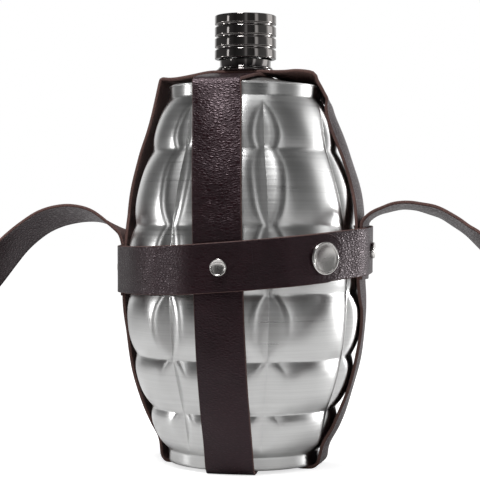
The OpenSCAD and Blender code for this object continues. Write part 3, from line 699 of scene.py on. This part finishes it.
def barrel_radius(turn, z):
    """Radius of the pressed barrel at a turn in degrees and a height.

    Each row swells over the chord between its two level grooves by swell times (1 - |2t - 1| ** power). The
    upright grooves are V planes that rise from their floor by the distance along the surface over the tangent
    of the half angle; cell and V meet in a smooth minimum, which rounds the border. Level grooves get a
    rounded floor."""
    sizes = bpy.context.scene.canteen_sizes
    soft, crease = sizes.groove_soft * 1000.0, sizes.crease_soft * 1000.0
    row = np.clip(np.searchsorted(ROW_Z, z, side="right") - 1, 0, ROWS - 1)
    t = np.clip((z - ROW_Z[row]) / ROW_HEIGHTS[row], 0.0, 1.0)
    chord = SEEN_EDGE_R[row] + (SEEN_EDGE_R[row + 1] - SEEN_EDGE_R[row]) * t
    cell = chord + SEEN_SWELLS[row] * (1.0 - np.abs(2 * t - 1) ** CELL_POWER)
    low_r = np.where(row == 0, BAND_R + GROOVE_LIFT, SEEN_EDGE_R[row])
    high_r = np.where(row == ROWS - 1, BAND_R + GROOVE_LIFT, SEEN_EDGE_R[row + 1])
    arch = (BELLY_R - BARREL_R + np.sqrt(BARREL_R**2 - (z - MID_Z) ** 2)
            + np.interp(z, ROW_Z, SEEN_EDGE_R - EDGE_R))
    floor = np.where((row == 0) | (row == ROWS - 1), low_r + (high_r - low_r) * t, arch) - GROOVE_EXTRA
    floor = floor - FLOOR_DIP * np.exp(-((z - ROW_Z[-2]) / FLOOR_DIP_REACH) ** 2)
    pitch = 360.0 / COLUMNS
    off = np.abs((turn - BOTTLE_TURN) % pitch - pitch / 2)
    vee = floor + np.radians(off) * cell / math.tan(math.radians(GROOVE_HALF_ANGLE))
    h = np.clip(0.5 + 0.5 * (vee - cell) / soft, 0.0, 1.0)
    r = vee + (cell - vee) * h - soft * h * (1 - h)
    near = np.min(np.abs(z[..., None] - ROW_Z[1:-1]), axis=-1)
    r = r + CREASE_LIFT * np.clip(1 - near / crease, 0.0, 1.0) ** 2
    return np.where((z < ROW_Z[0]) | (z > ROW_Z[-1]), BAND_R, r)


def strap_face(z):
    """Distance of the front strap's inner face from the axis: one bow up to the rim, one down to the base.

    At a share u of the way from the belly it has dropped by the whole drop times u (1 - 4 bow (1 - u))."""
    up = z > MID_Z
    share = np.where(up, (z - MID_Z) / (RIM_Z - MID_Z), (MID_Z - z) / (MID_Z - BASE_Z))
    drop = FACE_R - BAND_R - np.where(up, RIM_GAP, FOOT_GAP)
    return FACE_R - drop * share * (1 - 4 * np.where(up, STRAP_BOW, FRONT_FOOT_BOW) * (1 - share))


def rounded(p, q, s, r, steps=6):
    """Corner q between p and s replaced by an arc of radius r."""
    p, q, s = (np.asarray(v, float) for v in (p, q, s))
    u, v = unit(p - q), unit(s - q)
    half = math.acos(float(u @ v)) / 2
    mid = q + unit(u + v) * r / math.sin(half)
    a, b = q + u * r / math.tan(half) - mid, q + v * r / math.tan(half) - mid
    turn = math.acos(min(1.0, float(a @ b) / r**2))
    k = np.linspace(0.0, 1.0, steps)[:, None]
    return mid + (a * np.sin(turn * (1 - k)) + b * np.sin(turn * k)) / math.sin(turn)


def half_line(top, fold, face, heel_out, cross_z, bend):
    """Half a strap's middle line from the neck to the crossing under the base, as [out, z].

    It goes over the top, round the fold, down the face, round the heel and in under the base."""
    t = LEATHER_T / 2
    heel, under = (heel_out, t), (BAND_R - REST_W, t)
    return np.vstack([top, rounded(top[-1], fold, face[0], bend), face,
                      rounded(face[-1], heel, under, FOOT_BEND_R),
                      [under, (STRAP_W / 2 + FOOT_BEND_R, cross_z), (STRAP_MEET, cross_z)]])


def front_half():
    """Half of the front strap's middle line: its face hugs the barrel in bows."""
    t = LEATHER_T / 2
    z = np.linspace(CLOSE_FOLD_Z - 4 * TOP_BEND_R, 4 * FOOT_BEND_R, 60)
    top = [(r, FRONT_TOP_Z) for r in (0.0, NECK_R, COLLAR_FOOT_R)]
    return half_line(top, (strap_face(CLOSE_FOLD_Z) + t, CLOSE_FOLD_Z), np.stack([strap_face(z) + t, z], -1),
                     strap_face(t) + t, FRONT_CROSS_Z, TOP_BEND_R)


def shift_at(z):
    """Sideways shift of the front strap: the parabola through its places at base, belt and rim."""
    f, b, r = BASE_Z, BELT_Z, RIM_Z
    return (SHIFT_FOOT * (z - b) * (z - r) / ((f - b) * (f - r))
            + (SHIFT_BELT - SHIFT_SLIP) * (z - f) * (z - r) / ((b - f) * (b - r))
            + SHIFT_RIM * (z - f) * (z - b) / ((r - f) * (r - b)))


def fade(out):
    """Share of a strap's shift at a distance from the axis: none at the neck, all of it at the rim."""
    return np.clip((out - NECK_R) / (BAND_R - NECK_R), 0.0, 1.0)


def side_half(top, fold, face, foot, bend):
    """Half of the side strap's middle line: its face hangs as it was measured."""
    t = LEATHER_T / 2
    top = np.array(((0.0, 0.0), (NECK_R, 0.0)) + top + (fold,)) + (0.0, SIDE_TOP_Z)
    face = np.array(face)[:, ::-1] + (t, 0.0)
    return half_line(top[:-1], top[-1], face, BAND_R + foot + t, SIDE_CROSS_Z, bend)


def side_stations(half, hand, foot_turn):
    """Places, across directions and hug of the side strap at one hand, -1 left or 1 right, along its line.

    Away from the belt the strap leans towards the back round the axis and bends with the bottle."""
    out, z = half.T
    clear = np.abs(z - belt_mid_z(hand * SIDE_BELT_R, 0.0)) - BELT_W / 2
    lean = (SIDE_BACK_TURN * rise(clear, *LEAN_FADE) * fade(out)
            * (foot_turn + (1 - foot_turn) * rise(z, *FOOT_FADE)))
    a = np.radians(hand * (90 + lean))
    b = a - np.radians(RIGHT_TWIST) * (hand > 0) * rise(z - BELT_Z, *TWIST_FADE) * upright(z)
    return np.stack([out * np.sin(a), -out * np.cos(a), z, -hand * np.cos(b), -hand * np.sin(b), 0 * a,
                     upright(z) / np.maximum(out, 1.0)], -1)


def upright(z):
    """Share of a strap's bend across at a height: all of it beside the bottle, none above and below."""
    return rise(z - BASE_Z, *BEND_FOOT) * rise(RIM_Z - z, *BEND_RIM)


def belt_mid_z(x, y):
    """Height of the belt's middle: it rises evenly to the right and to the back."""
    return BELT_Z + BELT_RISE_RIGHT * x / SIDE_BELT_R + BELT_RISE_BACK * y / FRONT_BELT_R


def belt_radius(turn):
    """The belt's inner line: nearly flat over a strap, straight to where it meets the belly, then round.

    Over a strap the radius is that of a flat line, flat_r / cos d, less a share of what it adds to flat_r."""
    def over(strap, flat_r, flat_w, flat):
        d = np.abs((turn - strap + 90.0) % 180.0 - 90.0)
        edge = math.degrees(math.atan(flat_w / flat_r))
        edge_r = flat_r * (1 + flat * (1 / math.cos(math.radians(edge)) - 1))
        meet = edge + math.degrees(math.acos(BARE_BELT_R / edge_r))
        return np.where(d < edge, flat_r * (1 + flat * (1 / np.cos(np.radians(d)) - 1)),
                        np.where(d < meet, BARE_BELT_R / np.cos(np.radians(meet - d)), BARE_BELT_R))
    return np.maximum(over(0.0, FRONT_BELT_R, STRAP_W / 2 + abs(SHIFT_BELT) + 12 * LAY_GAP, 1.0),
                      over(90.0, SIDE_BELT_R, max(STRAP_W, CARRY_W) / 2 + 12 * LAY_GAP, 0.4))


def belt_path(turn, lift):
    """Middle line of the belt at turns in degrees, its inner face lifted off its own line.

    The radius is the mean over a few degrees to either side, because leather bends and doesn't crease."""
    near = np.linspace(-BELT_BEND_TURN, BELT_BEND_TURN, 9)
    r = belt_radius(np.asarray(turn)[..., None] + near).mean(-1) + lift + LEATHER_T / 2
    a = np.radians(turn)
    x, y = r * np.sin(a), -r * np.cos(a)
    return np.stack([x, y, belt_mid_z(x, y)], -1)


def flap_lift(turn):
    """Lift of the belt's free end over its hidden one, smooth from its root."""
    return (LEATHER_T + SNAP_ROOM) * rise(turn, FLAP_ROOT_TURN, FLAP_CLIMB_TURN)


def dished_cap(r, h, rim):
    """Profile of a pressed cap: flat below, a rolled rim, then a shallow dish with a dimple in its middle.

    The dish lies below the rim by 0.12 of the height, and by 0.42 (1 - u ** 2) ** 0.8 of it more at a share
    u of its radius."""
    bowl = np.linspace(r - 2.1 * rim, 0.45, 10)
    depth = 0.42 * h * (1 - (bowl / (r - 2 * rim)) ** 2) ** 0.8 + 0.12 * h
    return np.vstack([
        [(0.0, 0.0), (r - rim, 0.0)], arc((r - rim, rim), rim, -80, 0, 5),
        arc((r - rim, h - rim), rim, 0, 150, 12), np.stack([bowl, h - depth], -1),
        [(0.35, h - depth[-1] - 0.12), (0.0, h - depth[-1] - 0.16)]])


# Stage

def posed(x, y, z, place):
    """Matrix of an object with its axes along x, y and z, at a place."""
    made = Matrix(np.stack([x, y, z], 1).tolist()).to_4x4()
    made.translation = place.tolist()
    return made


def set_camera(scene, sizes):
    """Puts the camera at its turn, distance and height, and points it by the photograph's pixels."""
    a, roll = sizes.view_turn, math.radians(VIEW_ROLL)
    ahead, right = np.array((-math.sin(a), math.cos(a), 0.0)), np.array((math.cos(a), math.sin(a), 0.0))
    place = -ahead * sizes.view_distance + UP * sizes.view_height
    right, up = (math.cos(roll) * right + math.sin(roll) * UP, -math.sin(roll) * right + math.cos(roll) * UP)
    look = unit(ahead * FOCAL_PX - right * VIEW_LEFT_PX - up * VIEW_DOWN_PX)
    right = unit(right - (right @ look) * look)
    lens = bpy.data.cameras.new("camera")
    lens.sensor_width = SENSOR_MM
    lens.lens = FOCAL_PX / PHOTO_PX * SENSOR_MM
    lens.clip_end = 20.0
    scene.camera = add_object("camera", lens)
    scene.camera.matrix_world = posed(right, np.cross(right, look), -look, place)


def lay_floor(colour):
    """Lays the pale floor, which glows to the lens so that it's white there and keeps the shadow."""
    mesh = bpy.data.meshes.new("floor")
    reach, front = FLOOR_REACH, FLOOR_FRONT
    mesh.from_pydata([(-reach, -front, 0), (reach, -front, 0), (reach, reach, 0), (-reach, reach, 0)],
                     [], [(0, 1, 2, 3)])
    floor = add_object("floor", mesh)
    material, tree, shader, _ = start_material("pale_floor")
    seen = tree.nodes.new("ShaderNodeLightPath").outputs["Is Camera Ray"]
    wire(tree, shader, {
        "Base Color": shaded(colour), "Roughness": 0.9, "Specular IOR Level": 0.0, "Emission Color": WHITE,
        "Emission Strength": math_node(tree, "MULTIPLY", seen, FLOOR_GLOW)})
    mesh.materials.append(material)


def make_room(scene, a):
    """A white background, and the room that shiny faces mirror, by its bearing from the lens at a turn."""
    world = scene.world = bpy.data.worlds.new("studio")
    world.use_nodes = True
    world.cycles.sampling_method = "NONE"
    tree = world.node_tree
    tree.nodes.clear()
    seen = tree.nodes.new("ShaderNodeLightPath").outputs
    direct = tree.nodes.new("ShaderNodeTexCoord").outputs["Generated"]
    toward_lens = vector_node(tree, "DOT_PRODUCT", direct, (math.sin(a), -math.cos(a), 0.0))
    beside = vector_node(tree, "DOT_PRODUCT", direct, (math.cos(a), math.sin(a), 0.0))
    bearing = math_node(tree, "ARCTAN2", beside, toward_lens)
    panels = new_node(tree, "ShaderNodeValToRGB", {0: ramp(tree, bearing, 0.0, 1.0, -math.pi, math.pi)})
    stops = panels.color_ramp.elements
    for at, bright in STUDIO:
        stops.new((at + 180.0) / 360.0).color = (bright, bright, bright, 1.0)
    stops[0].color = stops[len(stops) - 1].color = WHITE
    high = new_node(tree, "ShaderNodeSeparateXYZ", {0: direct}).outputs["Z"]
    room = math_node(tree, "MULTIPLY", ramp(tree, high, 1.0, CEILING_SHARE, CEILING_LOW, CEILING_HIGH),
                     new_node(tree, "ShaderNodeRGBToBW", {0: panels.outputs[0]}).outputs[0])
    mirror, plain, white = [
        new_node(tree, "ShaderNodeBackground", {"Color": WHITE, "Strength": strength}).outputs[0]
        for strength in (room, ROOM_LIGHT, 1.0)]
    through = math_node(tree, "MAXIMUM", seen["Is Camera Ray"], seen["Is Transmission Ray"])
    bounced = new_node(tree, "ShaderNodeMixShader", {0: seen["Is Glossy Ray"], 1: plain, 2: mirror})
    shown = new_node(tree, "ShaderNodeMixShader", {0: through, 1: bounced.outputs[0], 2: white})
    new_node(tree, "ShaderNodeOutputWorld", {"Surface": shown.outputs[0]})


def hang_softboxes(a):
    """Hangs the soft lights, facing the bottle, by their bearing from the lens at a turn."""
    for name, turn, high, far, wide, tall, power in SOFTBOXES:
        t, e = a + math.radians(turn), math.radians(high)
        toward = np.array((math.sin(t) * math.cos(e), -math.cos(t) * math.cos(e), math.sin(e)))
        side = unit(np.cross(UP, toward))
        lamp = bpy.data.lights.new(name, "AREA")
        lamp.shape = "RECTANGLE"
        lamp.size, lamp.size_y, lamp.energy = wide, tall, power
        place = toward * far + UP * LAMP_AIM_Z
        add_object(name, lamp).matrix_world = posed(side, np.cross(toward, side), toward, place)


# Operators

class CANTEEN_OT_finishes(bpy.types.Operator):
    """Make the finishes and put them on the solids that show"""

    bl_idname = "canteen.finishes"
    bl_label = "Finishes"

    def execute(self, context):
        colours, sizes = context.scene.canteen_colours, context.scene.canteen_sizes
        brush, grain = brush_group(), grain_group()
        steel = metal("brushed_steel", colours.steel, brush, line_scale=1.0, rough=0.3, line_height=0.00004,
                      line_shade=0.16, across=0.75)
        metal("black_chrome", colours.gunmetal, brush, line_scale=0.5, rough=0.07, line_height=0.000001,
              line_shade=0.03)
        bright = metal("bright_nickel", colours.nickel, brush, line_scale=0.4, rough=0.22,
                       line_height=0.000002, line_shade=0.03)
        leather("harness_leather", colours, grain, sizes.grain_height, pebble=430.0)
        dress(["base_plate", "neck"], steel)
        dress(["belt_rivet_posts", "base_rivet_post", "snap_socket", "snap_stud", "snap_post"], bright)
        dress(["cap_liner"], moulded("liner_plastic", (0.03, 0.03, 0.03), rough=0.5))
        dress(["cap_gasket"], moulded("seal_rubber", (0.6, 0.6, 0.57), rough=0.6))
        return {"FINISHED"}


class CANTEEN_OT_carry_strap(bpy.types.Operator):
    """Lay the shoulder strap along its route between its two ends under the belt"""

    bl_idname = "canteen.carry_strap"
    bl_label = "Shoulder strap"

    def execute(self, context):
        mid = STRAP_OUT_R + LAY_GAP + LEATHER_T / 2
        ends = []
        for s in (-1, 1):
            z = belt_mid_z(s * SIDE_BELT_R, 0.0)
            low, top = z - BELT_W / 2 - CARRY_TAIL, z + BELT_W / 2
            ends.append(np.array([(s * mid, 0.0, h, 0.0) for h in (low, (low + top) / 2, top)]))
        line = smooth_path(np.vstack([ends[0], CARRY_ROUTE, ends[1][::-1]]), BELT_STEP)
        lift = np.radians(line[:, 3])
        across = np.stack([0 * lift, -np.cos(lift), np.sin(lift)], -1)
        gone = summed(step_lengths(line))
        to_end = np.minimum(gone, gone[-1] - gone)
        hug = -ease((CARRY_BENT + CARRY_UNBEND - to_end) / CARRY_UNBEND) / mid
        piece = strap_piece("carry_strap", "shoulder_strap", "bottle", line[:, :3], across, CARRY_W / 2,
                            flip=True, hug=hug)
        return {"FINISHED"}


class CANTEEN_OT_barrel(bpy.types.Operator):
    """Press the barrel into its rows and columns of cells"""

    bl_idname = "canteen.barrel"
    bl_label = "Barrel"

    def execute(self, context):
        # Points lie closer together near the upright and level grooves
        pitch = 360.0 / COLUMNS
        s = np.linspace(-1.0, 1.0, 48, endpoint=False)
        sector = np.sign(s) * np.abs(s) ** 1.5 * pitch / 2
        turn = (np.arange(COLUMNS)[:, None] * pitch + sector).ravel() + BOTTLE_TURN + pitch / 2
        even = np.linspace(0, 1, 34, endpoint=False)
        u = 0.55 * (1 - np.cos(np.pi * even)) / 2 + 0.45 * even
        rows = np.concatenate([ROW_Z[i] + ROW_HEIGHTS[i] * u for i in range(ROWS)])
        z = np.concatenate([np.linspace(BASE_Z, ROW_Z[0], 8, endpoint=False), rows,
                            np.linspace(ROW_Z[-1], RIM_Z, 8)])
        grid_turn, grid_z = np.meshgrid(turn, z)
        r = barrel_radius(grid_turn, grid_z)
        r = r - FOOT_IN * (1 - rise(grid_z, BASE_Z, FOOT_IN_H)) ** 2
        tucked = np.full((2, len(turn)), BAND_R - SHEET)
        r = np.vstack([tucked, r, tucked])
        z = np.concatenate([[BASE_Z + TUCK, BASE_Z], z, [RIM_Z, RIM_Z - TUCK]])
        a = np.radians(turn)
        points = np.stack([r * np.sin(a), -r * np.cos(a), np.repeat(z[:, None], len(turn), 1)], -1)
        mesh_piece("pressed_barrel", points.reshape(-1, 3), [grid_faces(len(z), len(turn), wrap_cols=True)],
                   "bottle", "brushed_steel", "bottle_body", sharp=60.0)
        return {"FINISHED"}


class CANTEEN_OT_shoulder(bpy.types.Operator):
    """Turn the shoulder disc with the rolled seam that clasps the rim"""

    bl_idname = "canteen.shoulder"
    bl_label = "Shoulder"

    def execute(self, context):
        half = SEAM_T / 2
        profile = np.vstack([
            [(NECK_R + WELD_GAP, SEAT_Z - SHEET), (COLLAR_FOOT_R, SEAT_Z - SHEET),
             (BAND_R - 2 * SHEET, RIM_Z)],
            arc((BAND_R + SEAM_LIP - half, RIM_Z + half), half, -90, 90, 9),
            [(BAND_R - 1.2 * SHEET, RIM_Z + SEAM_T), (BAND_R - 2.2 * SHEET, RIM_Z + SEAM_T - 0.2)],
            np.stack([np.linspace(BAND_R - 4, COLLAR_FOOT_R, 6), np.linspace(RIM_Z + 0.9, SEAT_Z, 6)], -1),
            [(NECK_R + WELD_GAP, SEAT_Z)]])
        points, faces = lathe(profile, 160, ring=True)
        mesh_piece("shoulder_disc", points, faces, "bottle", "brushed_steel", "shoulder_plate")
        return {"FINISHED"}


class CANTEEN_OT_collar(bpy.types.Operator):
    """Turn the collar with its foot ring and rolled lower edge"""

    bl_idname = "canteen.collar"
    bl_label = "Collar"

    def execute(self, context):
        z, top = COLLAR_Z, COLLAR_Z + COLLAR_H
        bore, e = NECK_R + WELD_GAP, COLLAR_EDGE
        profile = np.vstack([
            [(bore, z), (COLLAR_FOOT_R - 0.3, z)],
            arc((COLLAR_FOOT_R - e, z + e), e, -60, 90, 7),
            [(COLLAR_R + 0.9, z + COLLAR_FOOT_T)],
            arc((COLLAR_R + 0.35, z + COLLAR_FOOT_T + 0.65), e, -70, 100, 8),
            [(COLLAR_R, z + 2.5), (COLLAR_R, top - e)],
            arc((COLLAR_R - e, top - e), e, 0, 90, 6),
            [(bore, top)]])
        points, faces = lathe(profile, 128, ring=True)
        mesh_piece("turned_collar", points, faces, "bottle", "black_chrome", "neck_collar")
        return {"FINISHED"}


class CANTEEN_OT_cap(bpy.types.Operator):
    """Turn the ribbed cap"""

    bl_idname = "canteen.cap"
    bl_label = "Cap"

    def execute(self, context):
        inner = CAP_R - RIB_DEPTH - CAP_WALL
        pitch = (CAP_H + RIB_GAP) / RIB_COUNT
        rib = pitch - RIB_GAP
        core, e, root = CAP_R - RIB_DEPTH, RIB_EDGE, RIB_ROOT
        parts = [[(inner, CAP_Z)]]
        for i in range(RIB_COUNT):
            z0 = CAP_Z + i * pitch
            parts += [arc((CAP_R - e, z0 + e), e, -90, 0, 6), arc((CAP_R - e, z0 + rib - e), e, 0, 90, 6)]
            if i < RIB_COUNT - 1:
                parts += [[(core + root, z0 + rib), (core, z0 + rib + root), (core, z0 + pitch - root),
                           (core + root, z0 + pitch)]]
        top = CAP_Z + CAP_H
        parts += [[(CAP_R - 1.6, top), (CAP_R - 1.9, top - 0.25), (CAP_R - 2.4, top - 0.3), (0.0, top - 0.3)]]
        roof = top - CAP_TOP_T
        outer, outer_faces = lathe(np.vstack(parts), 144)
        below, below_faces = lathe([(0.0, roof), (inner, roof), (inner, CAP_Z)], 144)
        faces = outer_faces + [block[:, ::-1] + len(outer) for block in below_faces]
        mesh_piece("ribbed_cap", np.vstack([outer, below]), faces, "cap", "black_chrome", "cap_shell",
                   sharp=50.0)
        return {"FINISHED"}


class CANTEEN_OT_straps(bpy.types.Operator):
    """Lay the two crossing straps over the shoulder, down the bottle and under its base"""

    bl_idname = "canteen.straps"
    bl_label = "Crossing straps"

    def execute(self, context):
        out, z = front_half().T
        plain = np.stack([0 * z + 1, 0 * z, 0 * z, upright(z) / np.maximum(out, 1.0)], -1)
        front = np.column_stack([shift_at(z) * fade(out), -out, z, plain])
        back = np.column_stack([0 * z, out, z, plain])[::-1]
        left = side_half(LEFT_TOP, LEFT_FOLD, LEFT_FACE, FOOT_GAP_LEFT, LEFT_BEND_R)
        right = side_half(RIGHT_TOP, RIGHT_FOLD, RIGHT_FACE, FOOT_GAP_RIGHT, TOP_BEND_R)
        left, right = side_stations(left, -1, 1.0), side_stations(right, 1, 0.0)[::-1]
        for name, node, first, second in (("front_strap", "front_back_strap", front, back),
                                          ("cross_strap", "side_strap", left, right)):
            line = smooth_path(np.vstack([first, second[:-1], first[:1]]), STRAP_STEP)[:-1]
            wide = line[:, 3:6]
            if node == "side_strap":
                loose = rise(line[:, 0], *LOOSE_OUT) * rise(line[:, 2] - RIM_Z, *LOOSE_HIGH)
                tilt = np.radians(RIGHT_TILT) * loose
                wide = np.stack([wide[:, 0], wide[:, 1] * np.cos(tilt), np.sin(tilt)], -1)
                line[:, 2] -= RIGHT_SAG * loose
            strap_piece(name, node, "bottle", line[:, :3], wide, STRAP_W / 2, closed=True, hug=line[:, 6])
        return {"FINISHED"}


class CANTEEN_OT_belt(bpy.types.Operator):
    """Wrap the belt round the straps, and its free end over its hidden one"""

    bl_idname = "canteen.belt"
    bl_label = "Belt"

    def execute(self, context):
        turn = np.linspace(BELT_END_TURN, 360.0 + FLAP_ROOT_TURN, 260)
        path = smooth_path(belt_path(turn, 0.0), BELT_STEP)
        strap_piece("round_belt", "belt", "bottle", path, UP, BELT_W / 2, wave=0.5)

        # Steps shorten towards the round tip, over its last degrees
        last = 11.0
        turn = np.concatenate([np.linspace(FLAP_ROOT_TURN, TIP_TURN - last, 40),
                               TIP_TURN - last * (1 - np.sin(np.linspace(0.05, 1.0, 26) * np.pi / 2))])
        path = belt_path(turn, flap_lift(turn))
        r = BELT_W / 2
        to_tip = np.radians(TIP_TURN - turn) * FLAP_IN_R
        half_w = np.where(to_tip >= r, r, np.sqrt(np.clip(r**2 - (r - to_tip) ** 2, 0.6, None)))
        flap = strap_piece("belt_end_flap", "belt_flap", None, path, UP, half_w, edge=0.9, wave=0.25)
        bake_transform(flap)
        return {"FINISHED"}


class CANTEEN_OT_fasteners(bpy.types.Operator):
    """Set the rivet caps and the snap's dished cap"""

    bl_idname = "canteen.fasteners"
    bl_label = "Rivets and snap"

    def execute(self, context):
        points, faces = lathe(dished_cap(RIVET_R, RIVET_H, RIVET_RIM), 48)
        places = ((0.0, FRONT_BELT_R, SHIFT_BELT), (180.0, FRONT_BELT_R, 0.0), (-90.0, SIDE_BELT_R, 0.0),
                  (90.0, SIDE_BELT_R, 0.0))
        all_points, all_faces = [], []
        for turn, belt_r, side in places:
            a = math.radians(turn)
            z = belt_mid_z(belt_r * math.sin(a) + side, -belt_r * math.cos(a))
            all_faces += [block + len(points) * len(all_points) for block in faces]
            all_points.append(turned_out(points + UP * (belt_r + LEATHER_T + WELD_GAP), turn, z, side))
        mesh_piece("rivet_domes", np.vstack(all_points), all_faces, "bottle", "bright_nickel",
                   "belt_rivet_caps")
        under = points * (1.0, 1.0, -BASE_RIVET_H / RIVET_H) + UP * (FRONT_CROSS_Z - LEATHER_T / 2 - WELD_GAP)
        mesh_piece("base_rivet_dome", under, [block[:, ::-1] for block in faces], "bottle", "bright_nickel",
                   "base_rivet_cap")
        points, faces = lathe(dished_cap(SNAP_R, SNAP_H, SNAP_RIM), 96)
        a = math.radians(SNAP_TURN)
        z = belt_mid_z(FLAP_IN_R * math.sin(a), -FLAP_IN_R * math.cos(a))
        points = turned_out(points + UP * (FLAP_IN_R + LEATHER_T + WELD_GAP), SNAP_TURN, z)
        mesh_piece("snap_dish", points, faces, "flap", "bright_nickel", "snap_cap")
        return {"FINISHED"}


class CANTEEN_OT_stage(bpy.types.Operator):
    """Set up the floor, the soft lights and the camera"""

    bl_idname = "canteen.stage"
    bl_label = "Stage"

    def execute(self, context):
        scene, turn = context.scene, context.scene.canteen_sizes.view_turn
        scene.view_settings.view_transform = "Standard"
        set_camera(scene, scene.canteen_sizes)
        lay_floor(scene.canteen_colours.floor)
        make_room(scene, turn)
        hang_softboxes(turn)
        return {"FINISHED"}


class CANTEEN_PT_panel(bpy.types.Panel):
    """Lists the pieces of the canteen"""

    bl_idname = "CANTEEN_PT_panel"
    bl_label = "Canteen"
    bl_space_type = "VIEW_3D"
    bl_region_type = "UI"
    bl_category = "Canteen"

    def draw(self, context):
        for group in (context.scene.canteen_sizes, context.scene.canteen_colours):
            for key in group.__annotations__:
                self.layout.prop(group, key)
        for operator in OPERATORS:
            self.layout.operator(operator.bl_idname)


GROUPS = (CanteenSizes, CanteenColours)
OPERATORS = (CANTEEN_OT_stage, CANTEEN_OT_finishes, CANTEEN_OT_carry_strap, CANTEEN_OT_barrel,
             CANTEEN_OT_shoulder, CANTEEN_OT_collar, CANTEEN_OT_cap, CANTEEN_OT_straps, CANTEEN_OT_belt,
             CANTEEN_OT_fasteners)


def register():
    for cls in GROUPS + OPERATORS + (CANTEEN_PT_panel,):
        bpy.utils.register_class(cls)
    bpy.types.Scene.canteen_sizes = bpy.props.PointerProperty(type=CanteenSizes)
    bpy.types.Scene.canteen_colours = bpy.props.PointerProperty(type=CanteenColours)


def unregister():
    del bpy.types.Scene.canteen_colours
    del bpy.types.Scene.canteen_sizes
    for cls in reversed(GROUPS + OPERATORS + (CANTEEN_PT_panel,)):
        bpy.utils.unregister_class(cls)


def main():
    register()
    for operator in OPERATORS:
        family, action = operator.bl_idname.split(".")
        getattr(getattr(bpy.ops, family), action)()


if __name__ == "__main__":
    main()
